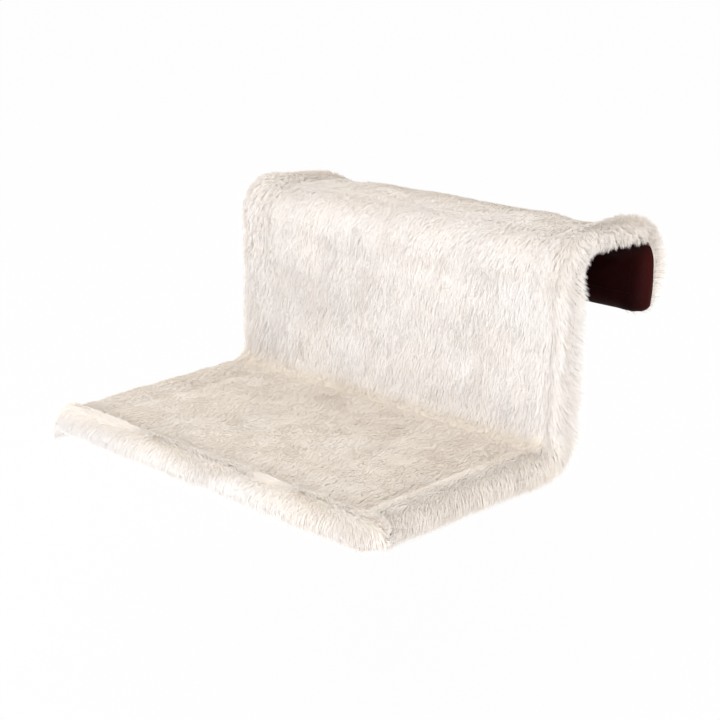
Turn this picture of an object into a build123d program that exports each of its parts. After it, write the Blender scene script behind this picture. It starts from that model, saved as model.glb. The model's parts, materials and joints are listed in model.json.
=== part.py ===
from build123d import *
import os
from math import ceil

# Cat bed that hangs on a radiator: a bent tube frame inside a removable long pile plush cover.
# Millimetres, +Z up, the bed's front towards -Y and its width along X. The origin is the middle of
# the underside of the hook, where the bed rests on the radiator's top edge.

# Frame, measured on the centre lines of the tubes
frame_width = 430.0
seat_depth = 255.0
seat_fall = 6.0
back_height = 205.0
back_lean = 4.0
hook_depth = 125.0
leg_drop = 77.0
leg_toe_in = 10.0
crease_radius = 36.0
front_bend_radius = 30.0
rear_bend_radius = 32.0
tube_diameter = 12.0
tube_wall = 1.0
lower_bar_height = 56.0
bar_setback = 9.0

# Joint between the seat half and the hook half of the frame
joint_height = 124.0
plug_length = 34.0
plug_play = 0.1
shoulder_length = 1.5

# Fastenings and tube ends
saddle_play = 0.05
screw_shank_radius = 1.9
screw_play = 0.3
screw_head_radius = 3.6
screw_head_height = 2.4
screw_head_rounding = 1.2
screw_key_radius = 1.3
screw_key_depth = 1.4
screw_grip = 11.0
thread_play = 0.1
insert_length = 14.0
insert_recess = 1.5
cap_thickness = 1.5
cap_plug_length = 5.0
cap_play = 0.05

# Snap button and its V spring
button_radius = 2.3
button_proud = 2.2
button_rounding = 0.8
button_play = 0.2
button_pocket_play = 0.8
flange_radius = 2.8
flange_thickness = 0.8
flange_play = 0.2
spring_thickness = 0.4
spring_width = 4.0
spring_arm = 17.0
spring_tail = 6.0
spring_play = 0.15

# Cover: rolls round the tubes
cover_ease = 0.3
roll_half_width = 17.0
roll_top = 19.0
roll_skin = 1.2
front_roll_radius = 17.0
front_roll_overhang = 24.0
front_roll_nose = 20.0
border_overrun = 7.0

# Cover: panels between the rolls
seam_gap = 0.3
layer_gap = 0.2
wadding_thickness = 7.0
panel_edge_height = 8.5
panel_crown = 3.5
panel_rounding = 5.0
lining_thickness = 1.3
fold_count = 5
fold_height = 2.2

# Cover: hem round the rear crossbar
hem_pile_depth = 17.0
hem_lining_depth = 9.0
hem_rise = 9.5
hem_fall = 15.5

# Zip under the seat
zip_setback = 72.0
zip_inset = 35.0
zip_window_margin = 5.0
zip_window_width = 13.0
tape_width = 13.0
tape_thickness = 0.6
tape_gap = 1.4
recess_play = 0.3
tooth_row_width = 2.6
tooth_height = 1.5
tooth_pitch = 4.0
tooth_gap = 0.5
tooth_spine = 0.9
stop_length = 2.5
stop_proud = 0.4
slider_length = 11.0
slider_play = 0.35
slider_plate = 1.2
slider_rail = 1.0
slider_post = 0.7
slider_post_length = 3.5
slider_rounding = 1.5
bail_width = 7.0
bail_post = 1.0
bail_bar_radius = 0.7
bail_rise = 2.7
pull_length = 26.0
pull_width = 5.6
pull_head_width = 4.2
pull_thickness = 1.3
pull_hole_play = 0.35
pull_head_rim = 0.9
pull_neck = 6.0
pull_corner = 1.85

quarter_turn = 90.0
half_share = 0.5
tube_radius = tube_diameter / 2
bore_radius = tube_radius - tube_wall
plug_radius = bore_radius - plug_play
plug_bore = plug_radius - tube_wall
sides = {"left": -1, "right": 1}
os.makedirs("parts", exist_ok=True)


def save(name, piece):
    """Labels a finished piece and writes it as a file of its own."""
    piece.label = name
    export_step(piece, os.path.join("parts", name + ".step"))


# Heights measured from the tubes' centre lines towards the pile side of the cover
roll_floor = -(tube_radius + cover_ease + roll_skin)
lining_top = roll_floor - layer_gap
lining_floor = lining_top - lining_thickness
wadding_top = roll_floor + wadding_thickness
panel_floor = wadding_top + layer_gap
saddle_depth = -lining_floor

# Side profile of the frame in the YZ plane
top_front_corner = Vector(0, -hook_depth / 2, saddle_depth)
top_rear_corner = Vector(0, hook_depth / 2, saddle_depth)
crease_corner = top_front_corner - Vector(0, back_lean, back_height)
seat_direction = Vector(0, seat_depth, seat_fall).normalized()
back_direction = (top_front_corner - crease_corner).normalized()
leg_direction = Vector(0, -leg_toe_in, -leg_drop).normalized()
front_bar = crease_corner - seat_direction * seat_depth
front_end = front_bar - seat_direction * bar_setback
leg_end = top_rear_corner + Vector(0, -leg_toe_in, -leg_drop)
rear_bar = leg_end - leg_direction * bar_setback
lower_bar = crease_corner + back_direction * lower_bar_height
joint_point = crease_corner + back_direction * joint_height
plug_end = joint_point - back_direction * plug_length
button_point = joint_point - back_direction * (plug_length / 2)


def in_profile(point):
    """The profile's own two coordinates of a point."""
    return (point.Y, point.Z)


with BuildLine(Plane.YZ) as profile:
    FilletPolyline(
        in_profile(front_end),
        in_profile(crease_corner),
        in_profile(top_front_corner),
        in_profile(top_rear_corner),
        in_profile(leg_end),
        radius=(crease_radius, front_bend_radius, rear_bend_radius),
    )
seat_run, crease_bend, back_run, front_bend, top_run, rear_bend, leg_run = profile.wire().edges()

seat_start = front_bar + seat_direction * (front_roll_radius / 2)
seat_path = Wire([Edge.make_line(seat_start, seat_run @ 1), crease_bend.trim(0, half_share)])
back_path = Wire([crease_bend.trim(half_share, 1), back_run])
top_path = Wire([front_bend, top_run, rear_bend])
rear_end = rear_bar - leg_direction * (hem_rise + seam_gap)
rear_path = Wire([Edge.make_line(leg_run @ 0, rear_end)])
rear_border_path = Wire([Edge.make_line(leg_run @ 0, leg_end + leg_direction * border_overrun)])
zone_paths = {"seat": seat_path, "back": back_path, "top": top_path, "rear": rear_path}
border_paths = {"seat": seat_path, "back": back_path, "top": top_path, "rear": rear_border_path}


def section_plane(path):
    """Plane across a path's start, with its own x along X and its own y towards the pile side."""
    return Plane(origin=path @ 0, x_dir=(1, 0, 0), z_dir=-(path % 0))


def at_width(path, x):
    """A path moved sideways from the middle of the bed."""
    return path.moved(Location((x, 0, 0)))


def across(point, x):
    """Plane square to the bed's width, through a point of the profile."""
    return Plane(origin=(x, point.Y, point.Z), x_dir=(0, 1, 0), z_dir=(1, 0, 0))


def swept_rod(path, radius):
    """Solid rod along a path."""
    with BuildPart() as rod:
        with BuildSketch(section_plane(path)):
            Circle(radius)
        sweep(path=path)
    return rod.part


def rod_between(point, x_from, x_to, radius):
    """Solid rod along the bed's width."""
    with BuildPart() as rod:
        with BuildSketch(across(point, x_from)):
            Circle(radius)
        extrude(amount=x_to - x_from)
    return rod.part


# Space that the frame takes inside the cover, with the cover's ease
cap_reach = cap_thickness + cover_ease
side_path = Wire(
    [
        Edge.make_line(front_end - seat_direction * cap_reach, seat_run @ 1),
        crease_bend,
        back_run,
        front_bend,
        top_run,
        rear_bend,
        Edge.make_line(leg_run @ 0, leg_end + leg_direction * cap_reach),
    ]
)
bar_points = {"front": front_bar, "lower_back": lower_bar, "rear": rear_bar}
side_x = frame_width / 2
head_seat_x = side_x + tube_radius
tip_x = side_x - tube_radius - button_proud
cover_core_radius = tube_radius + cover_ease

with BuildPart() as frame_space:
    for side in sides.values():
        add(swept_rod(at_width(side_path, side * side_x), cover_core_radius))
        for point in bar_points.values():
            head_space_x = head_seat_x + screw_head_height + cover_ease
            add(rod_between(point, side * side_x, side * head_space_x, screw_head_radius + cover_ease))
        pocket_radius = button_radius + button_pocket_play
        pocket_x = tip_x - button_pocket_play
        add(rod_between(button_point, side * pocket_x, side * side_x, pocket_radius))
    for point in bar_points.values():
        add(rod_between(point, -side_x, side_x, cover_core_radius))

# Side tubes: the seat half, and the hook half with its swaged plug
seat_tube_path = Wire([seat_run, crease_bend, Edge.make_line(back_run @ 0, joint_point)])
hook_tube_path = Wire([Edge.make_line(joint_point, back_run @ 1), front_bend, top_run, rear_bend, leg_run])
plug_path = Wire([Edge.make_line(plug_end, joint_point + back_direction * shoulder_length)])
shoulder_path = Wire([Edge.make_line(joint_point, joint_point + back_direction * shoulder_length)])
screw_hole_radius = screw_shank_radius + screw_play
button_hole_radius = button_radius + button_play


def tube_section(plane, outer, inner):
    """Ring section of a tube on a plane."""
    with BuildSketch(plane) as ring:
        Circle(outer)
        Circle(inner, mode=Mode.SUBTRACT)
    return ring.sketch


def drilled(point, side, radius, depth):
    """Rod that drills a side tube from its inner face outwards."""
    reach = tube_radius + depth
    return rod_between(point, side * (side_x - reach), side * (side_x + reach), radius)


for side_name, side in sides.items():
    with BuildPart() as seat_tube:
        path = at_width(seat_tube_path, side * side_x)
        sweep(sections=tube_section(section_plane(path), tube_radius, bore_radius), path=path)
        for point in (front_bar, lower_bar):
            add(drilled(point, side, screw_hole_radius, tube_wall), mode=Mode.SUBTRACT)
        add(
            rod_between(button_point, side * (side_x - tube_diameter), side * side_x, button_hole_radius),
            mode=Mode.SUBTRACT,
        )
    save(side_name + "_seat_tube", seat_tube.part)

    with BuildPart() as hook_tube:
        path = at_width(hook_tube_path, side * side_x)
        sweep(sections=tube_section(section_plane(path), tube_radius, bore_radius), path=path)
        path = at_width(plug_path, side * side_x)
        sweep(sections=tube_section(section_plane(path), plug_radius, plug_bore), path=path)
        path = at_width(shoulder_path, side * side_x)
        sweep(sections=tube_section(section_plane(path), tube_radius, plug_bore), path=path)
        add(drilled(rear_bar, side, screw_hole_radius, tube_wall), mode=Mode.SUBTRACT)
        add(
            rod_between(button_point, side * (side_x - tube_diameter), side * side_x, button_hole_radius),
            mode=Mode.SUBTRACT,
        )
    save(side_name + "_hook_tube", hook_tube.part)

# Crossbars: straight tubes whose ends are cut to saddle the side tubes
saddle_radius = tube_radius + saddle_play
saddles = [swept_rod(at_width(side_path, side * side_x), saddle_radius) for side in sides.values()]
for bar_name, point in bar_points.items():
    with BuildPart() as crossbar:
        with BuildSketch(across(point, -side_x)):
            Circle(tube_radius)
            Circle(bore_radius, mode=Mode.SUBTRACT)
        extrude(amount=frame_width)
        for saddle in saddles:
            add(saddle, mode=Mode.SUBTRACT)
    save(bar_name + "_crossbar", crossbar.part)

# Threaded inserts in the crossbars' ends, and the screws that hold them from outside
insert_x = side_x - tube_radius - insert_recess
screw_end_x = side_x - tube_radius - screw_grip
with BuildPart() as inserts:
    for point in bar_points.values():
        for side in sides.values():
            with BuildSketch(across(point, side * insert_x)):
                Circle(bore_radius)
                Circle(screw_shank_radius + thread_play, mode=Mode.SUBTRACT)
            extrude(amount=-side * insert_length)
save("crossbar_inserts", inserts.part)

with BuildPart() as one_screw:
    with BuildSketch(Plane.XY.offset(screw_end_x)):
        Circle(screw_shank_radius)
    extrude(amount=head_seat_x - screw_end_x)
    with BuildSketch(Plane.XY.offset(head_seat_x)):
        Circle(screw_head_radius)
    extrude(amount=screw_head_height)
    fillet(one_screw.faces().sort_by(Axis.Z)[-1].edges(), screw_head_rounding)
    with BuildSketch(Plane.XY.offset(head_seat_x + screw_head_height)):
        RegularPolygon(screw_key_radius, 6)
    extrude(amount=-screw_key_depth, mode=Mode.SUBTRACT)
screws = []
for point in bar_points.values():
    for side in sides.values():
        outward = Plane(origin=(0, point.Y, point.Z), x_dir=(0, 1, 0), z_dir=(side, 0, 0))
        screws.append(one_screw.part.moved(outward.location))
with BuildPart() as crossbar_screws:
    for screw in screws:
        add(screw)
save("crossbar_screws", crossbar_screws.part)

# Plugs that close the side tubes' open ends
with BuildPart() as end_caps:
    for side in sides.values():
        for end_point, outward in ((front_end, -seat_direction), (leg_end, leg_direction)):
            origin = (side * side_x, end_point.Y, end_point.Z)
            end_plane = Plane(origin=origin, x_dir=(1, 0, 0), z_dir=outward)
            with BuildSketch(end_plane):
                Circle(tube_radius)
            extrude(amount=cap_thickness)
            with BuildSketch(end_plane):
                Circle(bore_radius - cap_play)
            extrude(amount=-cap_plug_length)
save("tube_end_caps", end_caps.part)

# Snap buttons: a domed pin that locks the two halves, with a flange that stays inside the plug
flange_outer = (plug_bore**2 - flange_radius**2) ** 0.5 - flange_play
flange_inner = flange_outer - flange_thickness
for side_name, side in sides.items():
    inward = Plane(
        origin=(side * side_x, button_point.Y, button_point.Z),
        x_dir=back_direction,
        z_dir=(-side, 0, 0),
    )
    with BuildPart() as snap_button:
        with BuildSketch(inward.offset(flange_inner)):
            Circle(flange_radius)
        extrude(amount=flange_thickness)
        with BuildSketch(inward.offset(flange_outer)):
            Circle(button_radius)
        extrude(amount=tube_radius + button_proud - flange_outer)
        tip = snap_button.faces().filter_by(Axis.X).sort_by(Axis.X)[0 if side > 0 else -1]
        fillet(tip.edges(), button_rounding)
    save(side_name + "_snap_button", snap_button.part)

    # V spring: one arm under the button, the other along the opposite wall of the plug
    arm_near = flange_inner - spring_play
    arm_far = -(plug_bore**2 - (spring_width / 2) ** 2) ** 0.5 + spring_play
    spring_normal = back_direction.cross(inward.z_dir)
    spring_plane = Plane(origin=inward.origin, x_dir=back_direction, z_dir=spring_normal)
    with BuildPart() as button_spring:
        with BuildSketch(spring_plane.offset(-spring_width / 2)):
            with BuildLine():
                Polyline(
                    (spring_tail, arm_near),
                    (-spring_tail / 2, arm_near),
                    (-spring_arm, arm_far + spring_thickness),
                    (-spring_arm, arm_far),
                    (spring_tail, arm_far),
                    (spring_tail, arm_far + spring_thickness),
                    (-spring_arm + spring_tail, arm_far + spring_thickness),
                    (-spring_tail / 2, arm_near - spring_thickness),
                    (spring_tail, arm_near - spring_thickness),
                    close=True,
                )
            make_face()
        extrude(amount=spring_width)
    save(side_name + "_button_spring", button_spring.part)

# Front roll of the cover: round, longer than the frame is wide, with tapered corners
front_plane = Plane(origin=front_bar, x_dir=(1, 0, 0), z_dir=(0, -seat_direction.Z, seat_direction.Y))
front_half_length = side_x + front_roll_overhang
nose_x = front_half_length - front_roll_nose
with BuildPart() as front_border:
    with BuildSketch(front_plane):
        with BuildLine():
            EllipticalCenterArc(
                (nose_x, 0),
                front_roll_nose,
                front_roll_radius,
                start_angle=0.0,
                arc_size=quarter_turn,
            )
            Line((nose_x, front_roll_radius), (-nose_x, front_roll_radius))
            EllipticalCenterArc(
                (-nose_x, 0),
                front_roll_nose,
                front_roll_radius,
                start_angle=quarter_turn,
                arc_size=quarter_turn,
            )
            Line((-front_half_length, 0), (front_half_length, 0))
        make_face()
    revolve(axis=Axis(front_bar, (1, 0, 0)), revolution_arc=360)
    add(frame_space.part, mode=Mode.SUBTRACT)
save("front_border", front_border.part)
front_roll_space = rod_between(
    front_bar, -front_half_length, front_half_length, front_roll_radius + seam_gap
)

# Side rolls: rounded on the pile side and flat where the lining runs under them
roll_centre = (roll_top + lining_floor) / 2
roll_half_height = (roll_top - lining_floor) / 2
with BuildSketch() as roll_section:
    with Locations((0, roll_centre)):
        Ellipse(roll_half_width, roll_half_height)
    split(bisect_by=Plane(origin=(0, roll_floor, 0), z_dir=(0, 1, 0)), keep=Keep.TOP)

for side_name, side in sides.items():
    for zone, zone_path in border_paths.items():
        path = at_width(zone_path, side * side_x)
        with BuildPart() as border:
            with BuildSketch(section_plane(path)):
                add(roll_section.sketch)
            sweep(path=path)
            add(frame_space.part, mode=Mode.SUBTRACT)
            if zone == "seat":
                add(front_roll_space, mode=Mode.SUBTRACT)
        save(side_name + "_" + zone + "_border", border.part)

# Zip places: along X at a distance from the crease, with its own z towards the floor
zip_length = frame_width - 2 * zip_inset
zip_centre = crease_corner - seat_direction * zip_setback
seat_normal = Vector(0, -seat_direction.Z, seat_direction.Y)
zip_plane = Plane(origin=zip_centre + seat_normal * lining_top, x_dir=(1, 0, 0), z_dir=-seat_normal)
window_length = zip_length + 2 * zip_window_margin
tape_length = window_length + 2 * zip_window_margin
tapes_width = 2 * tape_width + tape_gap
teeth_width = tape_gap + 2 * tooth_row_width
slider_width = teeth_width + 2 * (slider_play + slider_rail)
plate_low = tooth_height + slider_play
plate_high = -(tape_thickness + slider_play)
recess_depth = slider_plate - plate_high + recess_play


def zip_block(length, width, low, high):
    """Block centred on the zip, from one depth to another below the lining's inner face."""
    with BuildPart() as block:
        with BuildSketch(zip_plane.offset(low)):
            Rectangle(length, width)
        extrude(amount=high - low)
    return block.part


# Panels, wadding and lining of the four stretches of the cover
panel_half_width = side_x - roll_half_width - seam_gap
flat_half_share = (1 - ((roll_floor - roll_centre) / roll_half_height) ** 2) ** 0.5
lining_half_width = side_x + roll_half_width * flat_half_share
panel_edge = panel_floor + panel_edge_height
with BuildSketch() as panel_section:
    with BuildLine():
        Line((-panel_half_width, panel_floor), (panel_half_width, panel_floor))
        Line((panel_half_width, panel_floor), (panel_half_width, panel_edge))
        ThreePointArc(
            (panel_half_width, panel_edge),
            (0, panel_edge + panel_crown),
            (-panel_half_width, panel_edge),
        )
        Line((-panel_half_width, panel_edge), (-panel_half_width, panel_floor))
    make_face()
    fillet(panel_section.vertices().group_by(Axis.Y)[-1], panel_rounding)

with BuildSketch() as wadding_section:
    with Locations((0, (roll_floor + wadding_top) / 2)):
        Rectangle(2 * panel_half_width, wadding_thickness)

with BuildSketch() as lining_section:
    with Locations((0, (lining_floor + lining_top) / 2)):
        Rectangle(2 * lining_half_width, lining_thickness)

# The rear lining hangs slack, in a few soft folds towards the radiator
fold_width = 2 * panel_half_width / fold_count
with BuildSketch() as slack_section:
    with BuildLine():
        Polyline(
            (panel_half_width, lining_floor),
            (lining_half_width, lining_floor),
            (lining_half_width, lining_top),
            (-lining_half_width, lining_top),
            (-lining_half_width, lining_floor),
            (-panel_half_width, lining_floor),
        )
        for fold in range(fold_count):
            fold_x = -panel_half_width + fold * fold_width
            ThreePointArc(
                (fold_x, lining_floor),
                (fold_x + fold_width / 2, lining_floor - fold_height),
                (fold_x + fold_width, lining_floor),
            )
    make_face()

lining_sections = {zone: lining_section for zone in zone_paths}
lining_sections["rear"] = slack_section

for zone, path in zone_paths.items():
    layers = {"panel": panel_section, "wadding": wadding_section, "lining": lining_sections[zone]}
    for layer, section in layers.items():
        with BuildPart() as cloth:
            with BuildSketch(section_plane(path)):
                add(section.sketch)
            sweep(path=path)
            if layer != "lining":
                add(frame_space.part, mode=Mode.SUBTRACT)
            if zone == "seat":
                add(front_roll_space, mode=Mode.SUBTRACT)
            if zone == "seat" and layer == "lining":
                window_depth = lining_thickness + cover_ease
                window = zip_block(window_length, zip_window_width, -cover_ease, window_depth)
                add(window, mode=Mode.SUBTRACT)
            if zone == "seat" and layer == "wadding":
                tape_recess = tape_thickness + recess_play
                tape_space = zip_block(tape_length + tape_gap, tapes_width + tape_gap, 0, -tape_recess)
                add(tape_space, mode=Mode.SUBTRACT)
                chain_width = slider_width + 2 * slider_play
                add(zip_block(window_length, chain_width, 0, -recess_depth), mode=Mode.SUBTRACT)
        save(zone + "_" + layer, cloth.part)

# Hem at the end of the hook: a plush casing round the rear crossbar
hem_plane = Plane(
    origin=(-panel_half_width, rear_bar.Y, rear_bar.Z),
    x_dir=(0, -leg_direction.Z, leg_direction.Y),
    z_dir=(1, 0, 0),
)
with BuildPart() as rear_hem:
    with BuildSketch(hem_plane):
        with Locations(((hem_pile_depth - hem_lining_depth) / 2, (hem_rise - hem_fall) / 2)):
            Ellipse((hem_pile_depth + hem_lining_depth) / 2, (hem_rise + hem_fall) / 2)
    extrude(amount=2 * panel_half_width)
    add(frame_space.part, mode=Mode.SUBTRACT)
save("rear_hem", rear_hem.part)

# Zip tapes and their rows of teeth, one row on each tape, with the teeth set half a pitch apart
tooth_count = ceil(zip_length / tooth_pitch)
row_length = tooth_count * tooth_pitch
tooth_width = tooth_pitch / 2 - tooth_gap
tooth_shift = tooth_pitch / 4
for row_name, row_side in {"front": 1, "rear": -1}.items():
    tape_middle = row_side * (tape_gap + tape_width) / 2
    with BuildPart() as tape:
        with BuildSketch(zip_plane):
            with Locations((0, tape_middle)):
                Rectangle(tape_length, tape_width)
        extrude(amount=-tape_thickness)
    save("zip_" + row_name + "_tape", tape.part)

    spine_y = row_side * (tape_gap / 2 + tooth_row_width - tooth_spine / 2)
    tooth_reach = tooth_row_width - tooth_spine
    tooth_y = row_side * (tape_gap / 2 + tooth_reach / 2)
    with BuildPart() as teeth:
        with BuildSketch(zip_plane):
            with Locations((0, spine_y)):
                Rectangle(row_length, tooth_spine)
            with Locations((row_side * tooth_shift, tooth_y)):
                with GridLocations(tooth_pitch, 0, tooth_count, 1):
                    Rectangle(tooth_width, tooth_reach)
        extrude(amount=tooth_height)
    save("zip_" + row_name + "_teeth", teeth.part)

stop_x = row_length / 2 + stop_length / 2 + tooth_shift
with BuildPart() as end_stops:
    with BuildSketch(zip_plane):
        with Locations((-stop_x, 0), (stop_x, 0)):
            Rectangle(stop_length, teeth_width)
    extrude(amount=tooth_height + stop_proud)
save("zip_end_stops", end_stops.part)

# Slider: two plates joined by a thin post between the rows, with rails that keep it on the chain
slider_x = -(stop_x - stop_length / 2 - slider_play - slider_length / 2)
slider_travel = 2 * -slider_x
slider_origin = zip_plane.origin + Vector(slider_x, 0, 0)
slider_plane = Plane(origin=slider_origin, x_dir=(1, 0, 0), z_dir=zip_plane.z_dir)
bail_height = plate_low + slider_plate + bail_rise
hang_origin = slider_plane.origin + slider_plane.z_dir * bail_height
with BuildPart() as zip_slider:
    with BuildSketch(slider_plane.offset(plate_low)):
        RectangleRounded(slider_length, slider_width, slider_rounding)
    extrude(amount=slider_plate)
    with BuildSketch(slider_plane.offset(plate_high)):
        RectangleRounded(slider_length, slider_width, slider_rounding)
    extrude(amount=-slider_plate)
    with BuildSketch(slider_plane.offset(plate_high)):
        with Locations((-slider_length / 2 + slider_post_length / 2 + slider_play, 0)):
            Rectangle(slider_post_length, slider_post)
    extrude(amount=plate_low - plate_high)
    with BuildSketch(slider_plane.offset(slider_play)):
        with Locations((0, (slider_width - slider_rail) / 2), (0, -(slider_width - slider_rail) / 2)):
            Rectangle(slider_length - 2 * slider_rounding, slider_rail)
    extrude(amount=plate_low - slider_play)
    with BuildSketch(slider_plane.offset(plate_low + slider_plate)):
        with Locations((0, (bail_width - bail_post) / 2), (0, -(bail_width - bail_post) / 2)):
            Rectangle(2 * bail_bar_radius, bail_post)
    extrude(amount=bail_rise)
    bail_end = hang_origin - slider_plane.y_dir * (bail_width / 2)
    bail_plane = Plane(origin=bail_end, x_dir=(1, 0, 0), z_dir=slider_plane.y_dir)
    with BuildSketch(bail_plane):
        Circle(bail_bar_radius)
    extrude(amount=bail_width)
save("zip_slider", zip_slider.part)

# Pull: a rounded tab that hangs straight down from the slider's bail
hang_plane = Plane(origin=hang_origin, x_dir=(0, 1, 0), z_dir=(1, 0, 0))
pull_hole = bail_bar_radius + pull_hole_play
head_radius = pull_hole + pull_head_rim
head_plane = Plane(origin=hang_origin - Vector(0, pull_head_width / 2, 0), x_dir=(1, 0, 0), z_dir=(0, 1, 0))
with BuildPart() as zip_pull:
    with BuildSketch(head_plane):
        Circle(head_radius)
    extrude(amount=pull_head_width)
    with BuildSketch(hang_plane.offset(-pull_thickness / 2)):
        with Locations((0, -pull_neck / 2)):
            Rectangle(pull_head_width, pull_neck)
        with Locations((0, -pull_neck - pull_length / 2 + pull_corner)):
            RectangleRounded(pull_width, pull_length, pull_corner)
    extrude(amount=pull_thickness)
    with BuildSketch(head_plane):
        Circle(pull_hole)
    extrude(amount=pull_head_width, mode=Mode.SUBTRACT)
save("zip_pull", zip_pull.part)

print("gap between back and leg at the top", round(hook_depth + 2 * lining_floor, 1))
print("slider travel", round(slider_travel, 2), "from", round(slider_x, 2))
print("bail bar centre", hang_origin)
print("button tip from the middle", round(tip_x, 2), "travel", round(button_proud + tube_wall, 2))
print("front corner reach", round(front_half_length, 1))
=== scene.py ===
# %% [markdown]
# # A cat's bed that hangs on a radiator
# A bent tube frame wears a cover of long white plush with a dark brown lining. The frame, the fastenings
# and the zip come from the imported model. This lesson dresses them: first soft padded forms, then the
# pile that grows on them, then the lining, the zip, the stitches and the finishes of the hardware.

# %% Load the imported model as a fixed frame
import json
import math

import bpy
import numpy as np
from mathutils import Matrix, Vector

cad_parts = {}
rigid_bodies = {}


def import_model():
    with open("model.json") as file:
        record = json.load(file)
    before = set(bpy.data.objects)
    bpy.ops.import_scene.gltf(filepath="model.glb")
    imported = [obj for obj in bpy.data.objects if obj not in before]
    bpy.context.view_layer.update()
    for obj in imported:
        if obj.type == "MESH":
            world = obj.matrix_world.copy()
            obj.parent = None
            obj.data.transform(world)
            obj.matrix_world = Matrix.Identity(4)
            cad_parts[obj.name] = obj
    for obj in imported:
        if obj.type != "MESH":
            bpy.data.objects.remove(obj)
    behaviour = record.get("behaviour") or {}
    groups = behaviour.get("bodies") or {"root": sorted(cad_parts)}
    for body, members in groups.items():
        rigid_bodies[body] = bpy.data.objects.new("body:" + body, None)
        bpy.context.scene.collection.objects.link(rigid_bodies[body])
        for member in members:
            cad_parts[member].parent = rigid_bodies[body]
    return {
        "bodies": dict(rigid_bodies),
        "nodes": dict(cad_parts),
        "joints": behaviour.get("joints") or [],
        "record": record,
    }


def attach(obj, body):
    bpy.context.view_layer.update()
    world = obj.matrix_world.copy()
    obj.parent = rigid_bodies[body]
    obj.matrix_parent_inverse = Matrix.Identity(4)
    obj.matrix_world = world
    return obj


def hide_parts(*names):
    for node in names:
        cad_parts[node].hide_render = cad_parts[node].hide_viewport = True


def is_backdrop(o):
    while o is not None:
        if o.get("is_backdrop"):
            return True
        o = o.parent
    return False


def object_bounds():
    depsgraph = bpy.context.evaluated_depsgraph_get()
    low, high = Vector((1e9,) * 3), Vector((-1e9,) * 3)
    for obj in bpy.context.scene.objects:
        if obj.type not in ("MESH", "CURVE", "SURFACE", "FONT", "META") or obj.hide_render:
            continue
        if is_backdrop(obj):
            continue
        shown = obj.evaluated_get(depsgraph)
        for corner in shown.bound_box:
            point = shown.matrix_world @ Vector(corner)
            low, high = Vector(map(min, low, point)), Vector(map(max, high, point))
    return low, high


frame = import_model()
nodes = frame["nodes"]
cad_low, cad_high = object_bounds()
print("packed nodes", len(nodes), "box", [round(v, 3) for v in cad_high - cad_low])

# %% [markdown]
# ## Sizes
# The sizes of the cover repeat those of the construction, in metres. Heights are measured from the
# centre lines of the side tubes towards the pile side of the cover.

# %% Sizes of the frame's side profile and of the cover
frame_width = 0.430
seat_depth, seat_fall = 0.255, 0.006
back_height, back_lean = 0.205, 0.004
hook_depth, leg_drop, leg_toe_in = 0.125, 0.077, 0.010
bend_radii = np.array([0.036, 0.030, 0.032])
saddle_depth, bar_setback, lower_bar_height = 0.009, 0.009, 0.056
side_x = frame_width / 2
panel_half_width = 0.1977
lining_height = -0.0083
front_roll_half = 0.234

# %% [markdown]
# ## The side profile
# Seen from the side the bed is one line: along the seat, up the back, over the radiator and down
# behind it. A heading that is constant on the straight runs and turns evenly in the bends gives the
# line by adding up small steps, so any layer of the cover can be placed by its distance along that
# line and its height above it.

# %% Side profile as a table of small steps
crease_corner = np.array([-hook_depth / 2 - back_lean, saddle_depth - back_height])
seat_direction = np.array([seat_depth, seat_fall]) / math.hypot(seat_depth, seat_fall)
corners = np.array([
    crease_corner - seat_direction * seat_depth,
    crease_corner,
    [-hook_depth / 2, saddle_depth],
    [hook_depth / 2, saddle_depth],
    [hook_depth / 2 - leg_toe_in, saddle_depth - leg_drop],
])
runs = np.diff(corners, axis=0)
run_headings = np.unwrap(np.arctan2(runs[:, 1], runs[:, 0]))
turns = np.abs(np.diff(run_headings))
cuts = bend_radii * np.tan(turns / 2)
straights = np.linalg.norm(runs, axis=1) - np.append(cuts, 0) - np.insert(cuts, 0, 0)
stretches = np.insert(straights, [1, 2, 3], bend_radii * turns)
knots = np.insert(np.cumsum(stretches), 0, 0)
profile_step, profile_margin = 0.0002, 0.03
along_table = np.arange(-profile_margin, knots[-1] + profile_margin, profile_step)
heading_table = np.interp(along_table, knots, np.repeat(run_headings, 2))
y_table = np.cumsum(np.cos(heading_table)) * profile_step
z_table = np.cumsum(np.sin(heading_table)) * profile_step
y_table += corners[0][0] - np.interp(0, along_table, y_table)
z_table += corners[0][1] - np.interp(0, along_table, z_table)
crease_at = (knots[1] + knots[2]) / 2
back_top_at, rear_at, leg_end_at = knots[3], knots[6], knots[7]
lower_bar_at = knots[2] + lower_bar_height - cuts[0]
rear_bar_at = leg_end_at - bar_setback
print("profile", round(float(leg_end_at), 4), "m long; crease, top, rear at",
      [round(float(v), 4) for v in (crease_at, back_top_at, rear_at)])


def place(x, along, height):
    """Points at a width, a distance along the profile and a height above it."""
    x, along, height = np.broadcast_arrays(x, along, height)
    heading = np.interp(along, along_table, heading_table)
    y = np.interp(along, along_table, y_table) - np.sin(heading) * height
    z = np.interp(along, along_table, z_table) + np.cos(heading) * height
    return np.stack([x, y, z], -1)


def onward(along):
    """Unit vectors along the profile, from the seat's front towards the hook's end."""
    heading = np.interp(along, along_table, heading_table)
    return np.stack([heading * 0, np.cos(heading), np.sin(heading)], -1)


def upward(along):
    """Unit vectors towards the pile side of the cover."""
    heading = np.interp(along, along_table, heading_table)
    return np.stack([heading * 0, -np.sin(heading), np.cos(heading)], -1)


# %% [markdown]
# ## Nodes from Python
# Materials and Geometry Nodes trees are both made of nodes, so one small class adds them: a type, its
# settings, then the values or links of its sockets. A second class wraps an output, so that sums and
# products of outputs are written as Python arithmetic.

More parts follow.
